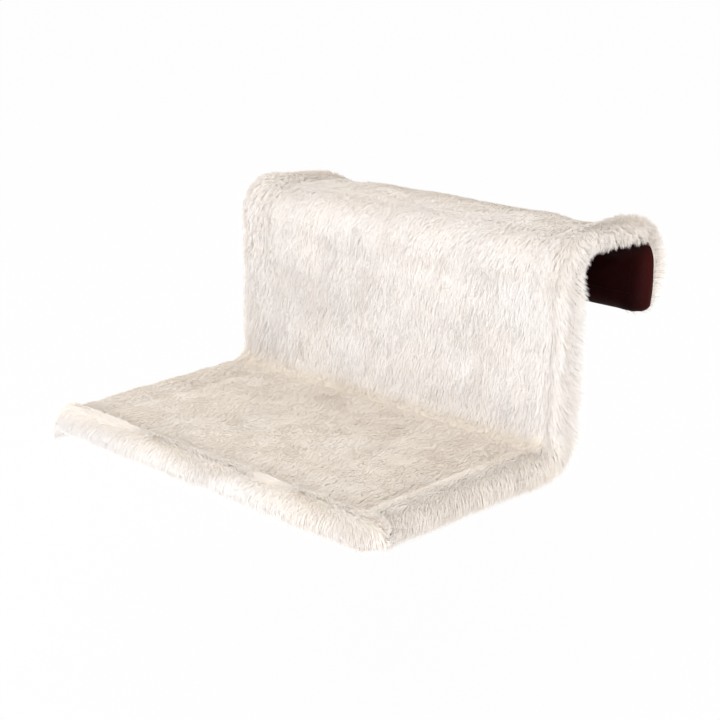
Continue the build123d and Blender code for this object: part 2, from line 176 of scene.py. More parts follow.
# %% Two small classes for nodes
class Term:
    """A node's output that takes part in Python arithmetic."""

    def __init__(self, graph, socket):
        self.graph = graph
        self.socket = socket

    def __add__(self, other):
        return self.graph.maths("ADD", self, other)

    def __radd__(self, other):
        return self.graph.maths("ADD", other, self)

    def __sub__(self, other):
        return self.graph.maths("SUBTRACT", self, other)

    def __rsub__(self, other):
        return self.graph.maths("SUBTRACT", other, self)

    def __mul__(self, other):
        return self.graph.maths("MULTIPLY", self, other)

    def __rmul__(self, other):
        return self.graph.maths("MULTIPLY", other, self)

    def __truediv__(self, other):
        return self.graph.maths("DIVIDE", self, other)

    def __rtruediv__(self, other):
        return self.graph.maths("DIVIDE", other, self)


def is_vector(value):
    """Whether a value or an output has three parts."""
    return value.socket.type in ("VECTOR", "RGBA") if isinstance(value, Term) else isinstance(value, tuple)


class Graph:
    """Adds nodes to one tree."""

    def __init__(self, tree):
        self.tree = tree

    def find(self, sockets, key):
        """A socket by number, identifier or name."""
        if isinstance(key, int):
            return sockets[key]
        named = [s for s in sockets if s.identifier == key] + [s for s in sockets if s.name == key]
        return named[0]

    def add(self, kind, settings=(), values=()):
        """A node of a type, with its settings first and then what its sockets take."""
        node = self.tree.nodes.new(kind)
        for name, value in dict(settings).items():
            setattr(node, name, value)
        for key, value in dict(values).items():
            socket = self.find(node.inputs, key)
            if isinstance(value, Term):
                self.tree.links.new(value.socket, socket)
            else:
                socket.default_value = value
        return node

    def get(self, kind, settings=(), values=(), output=0):
        """One output of a new node."""
        node = self.add(kind, settings, values)
        return Term(self, self.find(node.outputs, output))

    def maths(self, operation, *terms, output=0):
        """A Math node, or a Vector Math node where a vector takes part."""
        vectors = [is_vector(term) for term in terms]
        if not any(vectors):
            return self.get("ShaderNodeMath", {"operation": operation}, enumerate(terms))
        if operation == "MULTIPLY" and not all(vectors):
            arrow, number = sorted(terms, key=is_vector, reverse=True)
            return self.get("ShaderNodeVectorMath", {"operation": "SCALE"}, {0: arrow, "Scale": number})
        return self.get("ShaderNodeVectorMath", {"operation": operation}, enumerate(terms), output)

    def mixed(self, share, first, second):
        """A colour between two colours."""
        values = {"Factor_Float": share, "A_Color": first, "B_Color": second}
        return self.get("ShaderNodeMix", {"data_type": "RGBA"}, values, "Result_Color")

    def clamped(self, value):
        """A value held between 0 and 1."""
        return self.get("ShaderNodeClamp", (), {"Value": value})

    def joined(self, x=0.0, y=0.0, z=0.0):
        """A vector from its three parts."""
        return self.get("ShaderNodeCombineXYZ", (), {"X": x, "Y": y, "Z": z})

    def parts(self, vector):
        """The three parts of a vector."""
        node = self.add("ShaderNodeSeparateXYZ", (), {0: vector})
        return [Term(self, node.outputs[i]) for i in range(3)]

    def noise(self, where, scale, detail=2.0, roughness=0.5):
        """Noise with so many bumps to the metre."""
        values = {"Vector": where, "Scale": scale, "Detail": detail, "Roughness": roughness}
        return self.get("ShaderNodeTexNoise", (), values, "Fac")

    def bumped(self, height, distance, strength=1.0):
        """A normal bent by a height in metres."""
        values = {"Height": height, "Distance": distance, "Strength": strength}
        return self.get("ShaderNodeBump", (), values)

    def wire(self, **links):
        """Feeds outputs to the shader's sockets."""
        for key, term in links.items():
            self.tree.links.new(term.socket, self.shader.inputs[key.replace("_", " ")])


# %% [markdown]
# ## Finishes
# Every finish is a Principled shader whose colour, roughness and bump come from noise at the scale of
# the real stuff. Patterns read the object's own coordinates, so they stay on the piece when it moves.

# %% One finish
def finish(name, **constants):
    """A material with its constant values, the graph of its nodes and the piece's own coordinates."""
    material = bpy.data.materials.new(name)
    material.use_nodes = True
    material.node_tree.nodes.clear()
    graph = Graph(material.node_tree)
    values = {key.replace("_", " "): value for key, value in constants.items()}
    graph.shader = graph.add("ShaderNodeBsdfPrincipled", (), values)
    graph.end = graph.add("ShaderNodeOutputMaterial", (), {"Surface": Term(graph, graph.shader.outputs[0])})
    return material, graph, graph.get("ShaderNodeTexCoord", (), (), "Object")


def cloth_finish(name, roughness, gleam, sheen):
    """A finish for cloth and thread, which hardly reflect."""
    return finish(name, Roughness=roughness, Specular_IOR_Level=gleam, Sheen_Weight=sheen)


# %% [markdown]
# ### Plush
# The pile is off-white, and wide soft clouds of cream and white run over the whole cover, as brushed
# plush has. Each strand is painted a little darker and creamier at its root, a painted shade for the depth
# of the pile. Where the cover lies in shade the pile is painted creamier and darker, a painted shade, and
# high on the back it is painted whiter, a painted light. The cloth that the pile is knitted into is painted
# darker than the roots, a painted shade that shows in the partings.

# %% Plush finishes
tip_white = (0.955, 0.931, 0.922, 1)
tip_cream = (0.925, 0.866, 0.808, 1)
root_shade_colour = (0.900, 0.845, 0.775, 1)
# Painted shade: the colour that the pile is painted towards where the cover lies in shade
shade_cream_colour = (0.905, 0.826, 0.730, 1)
# Painted shade: the cloth under the pile is darker than the strands' roots, so the partings look shaded
parting_shade_colour = (0.780, 0.715, 0.630, 1)

pile_finish, graph, where = finish(
    "plush_pile", Roughness=0.85, Specular_IOR_Level=0.15, Sheen_Weight=0.04, Sheen_Roughness=0.6
)
clouds = graph.noise(where, 14, 3, 0.55) * 1.5 - 0.20
locks = graph.noise(where, 95, 2) * 0.35 + clouds * 0.75 - 0.05
along_strand, tone, painted_shade = (
    graph.get("ShaderNodeAttribute", {"attribute_name": name}, (), "Fac")
    for name in ("along", "tone", "painted_shade")
)
# Painted shade: the third note makes the pile creamier and darker where the cover lies in shade, and whiter,
# a painted light, where it is below 0
share = graph.clamped(locks + tone * 0.16 - 0.08 - painted_shade * 0.5)
tip = graph.mixed(share, tip_cream, tip_white)
tip = graph.mixed(painted_shade * (clouds * -0.2 + 0.95), tip, shade_cream_colour)
# Painted shade: each strand is darker and creamier towards its root
root_shade_share = graph.clamped(0.35 + along_strand * 1.1)
graph.wire(Base_Color=graph.mixed(root_shade_share, root_shade_colour, tip))

# The cloth under the pile: a painted shade, darker than the strands' roots, shows in the partings
ground_finish, graph, where = cloth_finish("plush_ground", 0.95, 0.1, 0.2)
clouds = graph.noise(where, 14, 3, 0.55)
knit = graph.bumped(graph.noise(where, 420, 3), 0.0012)
graph.wire(Base_Color=graph.mixed(clouds, parting_shade_colour, root_shade_colour), Normal=knit)

# %% [markdown]
# ## Padded forms
# The rolls are plush wrapped round the tubes and the panels between them are plush over thin wadding.
# Each is a ring of points carried along the profile, with both ends drawn in, so every form is closed.
# A sum of a few long waves makes the sewing and stuffing uneven, the same in every run.

# %% Mesh helpers
def mesh_piece(name, points, faces, material, edges=()):
    """Makes a smooth mesh object at the origin."""
    mesh = bpy.data.meshes.new(name)
    mesh.from_pydata(np.asarray(points).reshape(-1, 3).tolist(), edges, faces)
    mesh.materials.append(material)
    mesh.shade_smooth()
    piece = bpy.data.objects.new(name, mesh)
    bpy.context.collection.objects.link(piece)
    return piece


def grid_faces(rows, columns, closed=False):
    """Quads between the rows of a grid, joined round the columns where it is closed."""
    last = columns if closed else columns - 1
    row, column = np.meshgrid(np.arange(rows - 1), np.arange(last), indexing="ij")
    beside = (column + 1) % columns
    quads = np.stack([row * columns + column, row * columns + beside,
                      (row + 1) * columns + beside, (row + 1) * columns + column], -1)
    return quads.reshape(-1, 4).tolist()


def ringed_piece(name, rings, material):
    """A closed form from rings of points: it joins the rings and closes both ends."""
    rows, columns = rings.shape[:2]
    last = (rows - 1) * columns
    faces = grid_faces(rows, columns, closed=True)
    faces += [list(range(columns))[::-1], list(range(last, last + columns))]
    piece = mesh_piece(name, rings, faces, material)
    centre = rings.reshape(-1, 3).mean(0)
    sides = np.array([rings.reshape(-1, 3)[face[:3]] for face in faces[:-2]]) - centre
    if np.einsum("ij,ij->i", np.cross(sides[:, 0], sides[:, 1]), sides[:, 2]).sum() < 0:
        piece.data.flip_normals()
    return piece


def uneven(points, size, seed):
    """Smooth unevenness between about -1 and 1 with bumps of this size."""
    wave_count, wave_spread = 24, 2.2
    rng = np.random.default_rng(seed)
    waves = rng.normal(size=(wave_count, 3)) * wave_spread / size
    phases = rng.uniform(0, 2 * math.pi, wave_count)
    return np.sin(np.asarray(points) @ waves.T + phases).sum(-1) / math.sqrt(wave_count)


def ramp(value, start, width):
    """0 up to the start, 1 a width further on and an even rise between them."""
    return np.clip((value - start) / width, 0, 1)


def swell(value, centre, width, power=2):
    """1 at the centre, falling softly to 0 within about two widths."""
    return np.exp(-((value - centre) / width) ** power)


# %% [markdown]
# ### The skin
# The plush cloth is one continuous skin, from the crest of one side roll, down over the panels and up to
# the crest of the other. Ten places along the profile, from the seat's front to the hook's end, say how
# high the crests stand, how deep the seams beside the rolls are and how far the panels sag. Every value
# between two places is read off a straight line, and each of the pile's settings uses the same places.

# %% The skin: ten places along the profile, and how the cover changes between them
marks = [
    0.0, 0.03, crease_at - 0.02, crease_at + 0.03, back_top_at - 0.01,
    back_top_at + 0.024, back_top_at + 0.055, rear_at - 0.045, rear_at, leg_end_at,
]


def between(along, values):
    """A value read between the ten places."""
    return np.interp(along, marks, values)


crest_marks = {
    -1: [0.0060, 0.0090, 0.0115, 0.0150, 0.0160, 0.0180, 0.0100, 0.0045, 0.0065, 0.0110],
    1: [0.0120, 0.0130, 0.0130, 0.0125, 0.0115, 0.0125, 0.0130, 0.0128, 0.0130, 0.0120],
}
valley_marks = {
    -1: [0.0015, 0.0015, 0.0010, 0.0035, 0.0020, 0.0005, 0.0, 0.0, 0.0, 0.0],
    1: [0.0030, 0.0035, 0.0025, 0.0004, 0.0, 0.0, 0.0, 0.0, 0.0, 0.0],
}
valley_at_marks = {
    -1: [0.190, 0.190, 0.188, 0.183, 0.183, 0.186, 0.190, 0.190, 0.190, 0.190],
    1: [0.190] * 10,
}
sag_marks = [0.0, 0.0, 0.0, 0.0, 0.0006, 0.0030, 0.0045, 0.0045, 0.0042, 0.0]
panel_edge, panel_crown = 0.0055, 0.0020
shoulder_width, valley_width = 0.030, 0.0075
skin_unevenness, skin_wave, skin_seed = 0.0008, 0.055, 7
crease_depth, crease_width = 0.0060, 0.013
front_dip, front_dip_at, front_dip_width = 0.0022, 0.026, 0.009
bar_cover, bar_reach = 0.0078, 0.022
front_crest, front_shoulder = 0.0125, 0.020
skin_lowest, skin_thickness = 0.0016, 0.0013
hem_pile, hem_lining, hem_rise, hem_fall = 0.0108, 0.0078, 0.0090, 0.0125
hem_shoulder, hem_bare = 0.018, 0.0117


def skin_height(x, along):
    """Height of the plush cloth over the panels and up to the crests of the side rolls."""
    height = panel_edge + panel_crown * (1 - (x / panel_half_width) ** 2)
    height = height + skin_unevenness * uneven(place(x, along, 0), skin_wave, skin_seed)
    height = height - between(along, sag_marks)
    height = height - crease_depth * swell(along, crease_at, crease_width)
    height = height - front_dip * swell(along, front_dip_at, front_dip_width)
    height = height + np.maximum(bar_cover - height, 0) * swell(along, lower_bar_at, bar_reach)
    for side in (-1, 1):
        crest = between(along, crest_marks[side])
        inwards = ramp(-side * x, -side_x, shoulder_width)
        rise = np.cos(inwards * math.pi / 2) ** 2
        valley_at = between(along, valley_at_marks[side])
        valley = between(along, valley_marks[side])
        height = height + (crest - height) * rise
        height = height - valley * swell(side * x, valley_at, valley_width)
    over_front = np.cos(np.clip(along / front_shoulder, 0, 1) * math.pi / 2) ** 2
    height = height + (front_crest - height) * over_front
    over_hem = np.cos(ramp(-along, -rear_bar_at, hem_shoulder) * math.pi / 2) ** 2
    height = height + np.maximum(hem_pile - height, 0) * over_hem
    past_bar = np.minimum(ramp(along, rear_bar_at, hem_fall), 0.95)
    return np.maximum(height, skin_lowest) * np.sqrt(1 - past_bar ** 2)


# %% [markdown]
# ### Letting cloth settle
# A sewn pad bulges between its seams, and a lining sags and puckers between the tubes that hold it.
# Folds like these could be drawn by hand, but Blender's Cloth finds them by itself. Each piece is
# simulated with its seams held and with a little more cloth than the space needs. Its points may then
# move only so far, which keeps the piece in its place in the frame.

# %% One simulation for the pads and the lining
def settled(piece, held, slack, pressure, weight, limit, frames=14):
    """Simulates a piece as cloth and moves its points; gives back how far each one went."""
    start = np.empty(len(piece.data.vertices) * 3, np.float32)
    piece.data.vertices.foreach_get("co", start)
    start = start.reshape(-1, 3)
    group = piece.vertex_groups.new(name="held")
    group.add(np.flatnonzero(held).tolist(), 1.0, "REPLACE")
    cloth = piece.modifiers.new("cloth", "CLOTH")
    cloth.settings.vertex_group_mass = "held"
    cloth.settings.quality = 3
    cloth.settings.shrink_min = -slack
    cloth.settings.use_pressure = pressure > 0
    cloth.settings.uniform_pressure_force = pressure
    cloth.settings.effector_weights.gravity = weight
    cloth.collision_settings.use_collision = False
    for frame in range(1, frames + 1):
        bpy.context.scene.frame_set(frame)
    shape = piece.evaluated_get(bpy.context.evaluated_depsgraph_get()).data
    moved = np.empty_like(start).ravel()
    shape.vertices.foreach_get("co", moved)
    moved = moved.reshape(-1, 3) - start
    piece.modifiers.remove(cloth)
    piece.vertex_groups.clear()
    bpy.context.scene.frame_set(1)
    distance = np.linalg.norm(moved, axis=1, keepdims=True)
    moved *= limit * np.tanh(distance / limit) / np.maximum(distance, 1e-9)
    piece.data.vertices.foreach_set("co", (start + moved).ravel())
    piece.data.update()
    farthest = round(float(distance.max()) * 1000, 1)
    print(piece.name, "settled by up to", farthest, "mm, kept within", limit * 1000)
    return moved


# %% Panels: a sunken, softly crowned pad in each of the cover's four stretches
pad_floor, pad_least, bar_wall = -0.0003, 0.001, 0.0012
pad_columns, pad_cell, pad_ease = 61, 0.005, 0.0003
side_squareness, end_squareness = 40, 20
pad_slack, pad_pressure, pad_swell = 0.006, 3.0, 0.0016
rise_fade = 0.025
front_seam, hem_seam = 0.0130, 0.0095
zones = {
    "seat": (front_seam, crease_at),
    "back": (crease_at, back_top_at),
    "top": (back_top_at, rear_at),
    "rear": (rear_at, rear_bar_at - hem_seam),
}
pads, pad_tops = {}, {}
for zone, (start, end) in zones.items():
    along = np.linspace(start + pad_ease, end - pad_ease, max(7, round((end - start) / pad_cell)))[:, None]
    x = np.linspace(-panel_half_width, panel_half_width, pad_columns)[None, :]
    height = skin_height(x, along) - skin_thickness
    rounding = 1 - np.abs(x / panel_half_width) ** side_squareness
    rounding = rounding * (1 - np.abs(2 * (along - start) / (end - start) - 1) ** end_squareness)
    top = place(x, along, pad_floor + pad_least + (height - pad_floor - pad_least) * np.sqrt(rounding))
    over_bar = (bar_cover - bar_wall - pad_floor) * swell(along, lower_bar_at, bar_reach)
    under = place(x[:, ::-1], along, pad_floor + over_bar)
    rings = np.concatenate([top, under], 1)
    pads[zone] = ringed_piece(zone + "_plush_pad", rings, ground_finish)
    loose = np.zeros(rings.shape[:2], bool)
    loose[1:-1, 2 : pad_columns - 2] = True
    held = ~loose.ravel()
    moved = settled(pads[zone], held, slack=pad_slack, pressure=pad_pressure, weight=0.0, limit=pad_swell)
    risen = (moved.reshape(rings.shape) * upward(along)[:, None, 0, :]).sum(-1)
    pad_tops[zone] = (along[:, 0], x[0], risen[:, :pad_columns])
print("pads", {name: len(pad.data.polygons) for name, pad in pads.items()})

# %% How far the settled pads rose, for the pile that grows on them
def pad_rise(x, along):
    """The pads' movement at any place of the cover, read between their points."""
    rise = np.zeros(np.broadcast(x, along).shape)
    for rows_at, columns_at, risen in pad_tops.values():
        row = np.clip(np.interp(along, rows_at, np.arange(len(rows_at))), 0, len(rows_at) - 1.001)
        column = np.clip(np.interp(x, columns_at, np.arange(len(columns_at))), 0, len(columns_at) - 1.001)
        row, column = np.broadcast_arrays(row, column)
        r, c = row.astype(int), column.astype(int)
        fr, fc = row - r, column - c
        value = (risen[r, c] * (1 - fc) + risen[r, c + 1] * fc) * (1 - fr)
        value = value + (risen[r + 1, c] * (1 - fc) + risen[r + 1, c + 1] * fc) * fr
        from_end = np.minimum(along - rows_at[0], rows_at[-1] - along)
        faded_in = ramp(np.minimum(from_end, panel_half_width - np.abs(x)), 0, rise_fade)
        rise = rise + value * faded_in ** 2 * (3 - 2 * faded_in)
    return rise


# %% Side rolls: plush wrapped round the side tubes, one continuous roll on each side
roll_reach, roll_floor = 0.0125, -0.0073
wrap_marks = np.radians([-55, -55, -55, -55, -35, -24, -20, -20, -5, 40])
roll_unevenness, roll_wave = 0.0010, 0.035
roll_end_rounding, roll_cell = 0.0085, 0.005
roll_from, roll_to = 0.0085, leg_end_at + 0.0042
lowest_turn = -math.pi / 2


def outer_point(side, turn, along):
    """A point on the outer half of a side roll; turn is 0 outside and a quarter on its crest."""
    crest = between(along, crest_marks[side])
    middle, half = (crest + roll_floor) / 2, (crest - roll_floor) / 2
    raw = place(side * (side_x + roll_reach * np.cos(turn)), along, middle + half * np.sin(turn))
    bulge = roll_unevenness / roll_reach * uneven(raw, roll_wave, 12 + side) * np.cos(turn)
    return draw_in(raw, side, along, middle, 1 + bulge[..., None])


def draw_in(raw, side, along, middle, plump=1.0):
    """Closes a roll's ends by pulling its points towards its middle line."""
    centre = place(side * side_x, along, middle)
    near_end = np.clip(np.minimum(along - roll_from, roll_to - along) / roll_end_rounding, 0.03, 1)
    return centre + (raw - centre) * plump * np.sqrt(1 - (1 - near_end) ** 2)[..., None]


rolls = {}
for side_name, side in {"left": -1, "right": 1}.items():
    ends = roll_end_rounding * (1 - np.cos(np.linspace(0, math.pi / 2, 7)))
    straight = np.arange(roll_from + 0.014, roll_to - 0.012, roll_cell)
    along = np.concatenate([roll_from + ends, straight, roll_to - ends[::-1]])[:, None]
    outer = outer_point(side, np.linspace(lowest_turn, math.pi / 2, 15)[None, :], along)
    x = side * np.linspace(side_x - 0.002, panel_half_width + 0.0006, 7)[None, :]
    top = place(x, along, skin_height(x, along) - skin_thickness)
    under = place(x[:, ::-1], along, roll_floor)
    middle = (between(along, crest_marks[side]) + roll_floor) / 2
    inner = [draw_in(half, side, along, middle) for half in (top, under)]
    rings = np.concatenate([outer, *inner], 1)
    rolls[side_name] = ringed_piece(side_name + "_plush_roll", rings, ground_finish)

# %% Front roll: wrapped round the front crossbar, with a pinched corner at each end
front_radius, round_columns = 0.0125, 32
front_nose, left_nose, nose_fall = 0.030, 0.024, 0.020
nose_bluntness, fall_bend = 2.6, 1.5
front_roll_left = -0.2485
front_plumpness, front_wave, front_seed = 0.07, 0.035, 17


def front_point(x, turn):
    """A point of the front roll; turn is 0 at its rear, a quarter on top and a half in front."""
    reach = np.minimum(ramp(-x, -front_roll_half, front_nose), ramp(x, front_roll_left, left_nose))
    radius = front_radius * np.sqrt(1 - (1 - reach) ** nose_bluntness)
    fallen = nose_fall * (1 - reach) ** fall_bend * (x < 0)
    raw = place(x, radius * np.cos(turn), radius * np.sin(turn) - fallen)
    plump = front_plumpness * uneven(raw, front_wave, front_seed) * ramp(turn, math.pi / 2, 0.9)
    return raw + (raw - place(x, 0, 0)) * plump[..., None]


nose = front_nose * (1 - np.cos(np.linspace(0.06, math.pi / 2, 9)))
middle = np.arange(-0.210, 0.1981, 0.0055)
x = np.concatenate([front_roll_left + nose, middle, front_roll_half - nose[::-1]])
turn = np.linspace(0, 2 * math.pi, round_columns, endpoint=False)
front_roll = ringed_piece("front_plush_roll", front_point(x[:, None], turn[None, :]), ground_finish)

# %% Hem: the plush casing round the rear crossbar, at the hook's end
def hem_point(x, turn, square=1.0):
    """A point of the hem; turn is 0 on the pile side and a quarter towards the hook."""
    cosine, sine = (np.sign(v) * np.abs(v) ** square for v in (np.cos(turn), np.sin(turn)))
    out = np.where(cosine > 0, hem_pile, hem_lining) * cosine
    along = rear_bar_at - np.where(sine > 0, hem_rise, hem_fall) * sine
    return place(x, along, out)


x = np.linspace(-panel_half_width - 0.004, panel_half_width + 0.004, 82)
rear_hem = ringed_piece("rear_plush_hem", hem_point(x[:, None], turn[None, :]), ground_finish)
print("soft forms", [p.name for p in (*pads.values(), *rolls.values(), front_roll, rear_hem)])

# %% [markdown]
# ## Pile
# Long plush is hundreds of thousands of fibres that lean one way and stick together in small locks.
# Drawing each fibre is out of reach, so one strand here stands for a thread of them: a thin spindle with
# one bend, thickest at its middle. Geometry Nodes scatter the strands over a sheet that carries five
# notes for them: which way the pile was brushed, how long it is, how steeply it stands, how much painted
# shade makes it creamier and darker, and how closely it gathers into locks.

# %% Helpers for both Geometry Nodes trees
def new_tree(name, makes, wanted):
    """A tree with named inputs: the graph of its nodes, the inputs' identifiers and their outputs."""
    tree = bpy.data.node_groups.new(name, "GeometryNodeTree")
    tree.interface.new_socket(makes, in_out="OUTPUT", socket_type="NodeSocketGeometry")
    identifiers = {}
    for label, (kind, default) in wanted.items():
        socket = tree.interface.new_socket(label, in_out="INPUT", socket_type="NodeSocket" + kind)
        if default is not None:
            socket.default_value = default
        identifiers[label] = socket.identifier
    graph = Graph(tree)
    asked = graph.add("NodeGroupInput")
    given = {label: Term(graph, asked.outputs[i]) for i, label in enumerate(identifiers)}
    return graph, identifiers, given


def made_by(tree, source, name, values):
    """Runs a tree on an object, which is used up, and keeps the result as a plain mesh object."""
    modifier = source.modifiers.new(name, "NODES")
    modifier.node_group = tree
    for identifier, value in values.items():
        modifier[identifier] = value
    depsgraph = bpy.context.evaluated_depsgraph_get()
    shape = source.evaluated_get(depsgraph)
    mesh = bpy.data.meshes.new_from_object(shape, preserve_all_data_layers=True, depsgraph=depsgraph)
    bpy.data.objects.remove(source)
    mesh.name = name
    piece = bpy.data.objects.new(name, mesh)
    bpy.context.collection.objects.link(piece)
    return piece


# %% The strand tree: inputs, and short names for its common nodes
graph, pile_inputs, given = new_tree("pile", "Strands", {
    "Sheet": ("Geometry", None),
    "Strands per Area": ("Float", 860000.0),
    "Strand Length": ("Float", 0.0135),
    "Strand Radius": ("Float", 0.00021),
    "Tuft Size": ("Float", 0.0065),
    "Tuft Pull": ("Float", 0.30),
    "Waviness": ("Float", 0.28),
    "Stray": ("Float", 0.16),
    "Droop": ("Float", 0.18),
    "Seed": ("Int", 1),
    "Finish": ("Material", None),
})
pile_tree = graph.tree


def noted(name, kind="FLOAT"):
    """A note that the geometry carries."""
    return graph.get("GeometryNodeInputNamedAttribute", {"data_type": kind}, {"Name": name}, "Attribute")


def note(geometry, name, value, kind="FLOAT"):
    """Writes a note on the geometry's points."""
    settings = {"data_type": kind, "domain": "POINT"}
    values = {"Geometry": geometry, "Name": name, "Value": value}
    return graph.get("GeometryNodeStoreNamedAttribute", settings, values)


def chance(low, high, seed):
    """A random number or vector for each strand."""
    kind, suffix = ("FLOAT_VECTOR", "") if is_vector(low) else ("FLOAT", "_001")
    values = {"Min" + suffix: low, "Max" + suffix: high, "Seed": seed}
    return graph.get("FunctionNodeRandomValue", {"data_type": kind}, values, "Value" + suffix)


def length_of(vector):
    """The length of a vector."""
    return graph.maths("LENGTH", vector, output="Value")


# %% The strand tree: roots and tips
shortest, longest = 0.80, 1.08
waves_per_metre, least_rise = 38.0, 0.22
scatter = graph.add(
    "GeometryNodeDistributePointsOnFaces",
    {"distribute_method": "RANDOM"},
    {"Mesh": given["Sheet"], "Density": given["Strands per Area"], "Seed": given["Seed"]},
)
roots, face_out = (Term(graph, scatter.outputs[name]) for name in ("Points", "Normal"))
root = graph.get("GeometryNodeInputPosition")
brushed, steep = noted("brushed", "FLOAT_VECTOR"), noted("steep")
strand_length = given["Strand Length"] * noted("reach") * chance(shortest, longest, given["Seed"] + 5)
wave = {"Vector": root, "Scale": waves_per_metre, "Detail": 1.0}
wave = graph.get("ShaderNodeTexNoise", (), wave, "Color") - (0.5, 0.5, 0.5)
stray = chance((-1.0, -1.0, -1.0), (1.0, 1.0, 1.0), given["Seed"] + 9)
lean = brushed * graph.maths("COSINE", steep) + face_out * graph.maths("SINE", steep)
lean = lean + wave * (given["Waviness"] * 2.0) + stray * given["Stray"]
tip = graph.maths("NORMALIZE", lean) * strand_length

tufts = {"Vector": root, "Scale": 1.0 / given["Tuft Size"], "Randomness": 1.0}
to_tuft = graph.get("ShaderNodeTexVoronoi", (), tufts, "Position") - root
to_tuft = to_tuft - face_out * graph.maths("DOT_PRODUCT", to_tuft, face_out, output="Value")
tip = tip + to_tuft * (given["Tuft Pull"] * noted("gather"))
tip = tip + graph.joined(z=given["Droop"] * strand_length * -1.0)
rise = graph.maths("DOT_PRODUCT", tip, face_out, output="Value")
tip = tip + face_out * graph.maths("MAXIMUM", strand_length * least_rise - rise, 0.0)
roots = note(roots, "tip", tip, "FLOAT_VECTOR")
roots = note(roots, "face_out", face_out, "FLOAT_VECTOR")
roots = note(roots, "tone", chance(0.0, 1.0, given["Seed"] + 13))

# %% The strand tree: one strand, thickest at its middle, bent and set on every root
thickest_at, bend_share, own_share = 0.55, 0.5, 0.08
spindle = {"Vertices": 3, "Side Segments": 1, "Fill Segments": 1}
spindle.update({"Radius Top": 1.0, "Radius Bottom": 0.0, "Depth": thickest_at})
spindle = graph.get("GeometryNodeMeshCone", {"fill_type": "TRIANGLE_FAN"}, spindle)
spot = graph.get("GeometryNodeInputPosition")
up_spindle = graph.parts(spot)[2]
from_axis = length_of(spot - graph.joined(z=up_spindle))
at_tip = graph.maths("LESS_THAN", from_axis, 0.5) * graph.maths("GREATER_THAN", up_spindle, thickest_at / 2)
lift = graph.joined(z=at_tip * (1.0 - thickest_at))
spindle = graph.get("GeometryNodeSetPosition", (), {"Geometry": spindle, "Offset": lift})
spindle = note(spindle, "along", up_spindle)
strand = noted("tip", "FLOAT_VECTOR")
turned = graph.get("FunctionNodeAlignRotationToVector", {"axis": "Z"}, {"Vector": strand})
size = graph.joined(given["Strand Radius"], given["Strand Radius"], length_of(strand))
placed = {"Points": roots, "Instance": spindle, "Rotation": turned, "Scale": size}
strands = graph.get("GeometryNodeInstanceOnPoints", (), placed)
strands = graph.get("GeometryNodeRealizeInstances", (), {"Geometry": strands})
up_strand, face_out = noted("along"), noted("face_out", "FLOAT_VECTOR")
bend = face_out * (up_strand * (1.0 - up_strand) * length_of(strand) * bend_share)
strands = graph.get("GeometryNodeSetPosition", (), {"Geometry": strands, "Offset": bend})
own_out = graph.get("GeometryNodeInputNormal", (), (), "Normal")
soft_out = graph.maths("NORMALIZE", face_out * (1.0 - own_share) + own_out * own_share)
softened = {"Mesh": strands, "Custom Normal": soft_out}
strands = graph.get("GeometryNodeSetMeshNormal", {"mode": "FREE", "domain": "POINT"}, softened)
strands = graph.get("GeometryNodeSetMaterial", (), {"Geometry": strands, "Material": given["Finish"]})
graph.add("NodeGroupOutput", (), {0: strands})
print("pile tree", len(pile_tree.nodes), "nodes")

# %% Grow the pile of one sheet
strand_vertices = 5


def sheet_of(points, brushed, reach, steep, painted_shade, gather=1.0, flip=False, kept=None):
    """A sheet that carries the notes for its strands; kept says which of its cells have any."""
    rows, columns = points.shape[:2]
    faces = grid_faces(rows, columns)
    if kept is not None:
        faces = [face for face, keep in zip(faces, kept[:-1, :-1].ravel()) if keep]
    sheet = mesh_piece("sheet", points, faces, ground_finish)
    if flip:
        sheet.data.flip_normals()
    notes = {"brushed": brushed, "reach": reach, "steep": steep, "painted_shade": painted_shade, "gather": gather}
    for name, values in notes.items():
        kind, field, shape = "FLOAT", "value", (rows, columns)
        if name == "brushed":
            kind, field, shape = "FLOAT_VECTOR", "vector", (rows, columns, 3)
        values = np.broadcast_to(values, shape).astype(np.float32).ravel()
        sheet.data.attributes.new(name, kind, "POINT").data.foreach_set(field, values)
    return sheet


def lay_out(mesh):
    """Writes the bake's map: strand by strand in a square of cells, root to tip up each cell."""
    corner = np.empty(len(mesh.loops), np.int32)
    mesh.loops.foreach_get("vertex_index", corner)
    strand, which = corner // strand_vertices, corner % strand_vertices
    columns = math.ceil(math.sqrt(len(mesh.vertices) / strand_vertices))
    across = np.array([0.5, 0.15, 0.5, 0.85, 0.5])[which]
    up = np.array([0.85, 0.5, 0.5, 0.5, 0.15])[which]
    places = np.stack([strand % columns + across, strand // columns + up], -1) / columns
    layer = mesh.uv_layers.new(name="OFBake")
    layer.data.foreach_set("uv", places.astype(np.float32).ravel())


def grow(name, sheet, seed, **inputs):
    """Turns a sheet into a plain mesh of strands, with a small cell of the bake's map for each."""
    chosen = {"Seed": seed, "Finish": pile_finish, **{k.replace("_", " "): v for k, v in inputs.items()}}
    pile = made_by(pile_tree, sheet, name, {pile_inputs[key]: value for key, value in chosen.items()})
    lay_out(pile.data)
    strand_count, triangle_count = len(pile.data.vertices) // strand_vertices, len(pile.data.polygons)
    print(name, strand_count, "strands", triangle_count, "triangles")
    return pile


# %% [markdown]
# ### Brushing
# The pile lies down the back and forward along the seat, turns outwards beside the rolls and hangs down
# their sides. It is short in the crease, flatter at the seat's front edge, and stands up in locks round the
# hook. Where the bed lies in shade, on the seat, in the crease and over the hook, the pile is painted
# creamier and darker, a painted shade; high on the back it is painted whiter, a painted light. As with the
# skin, lists of ten values say how that changes along the bed.

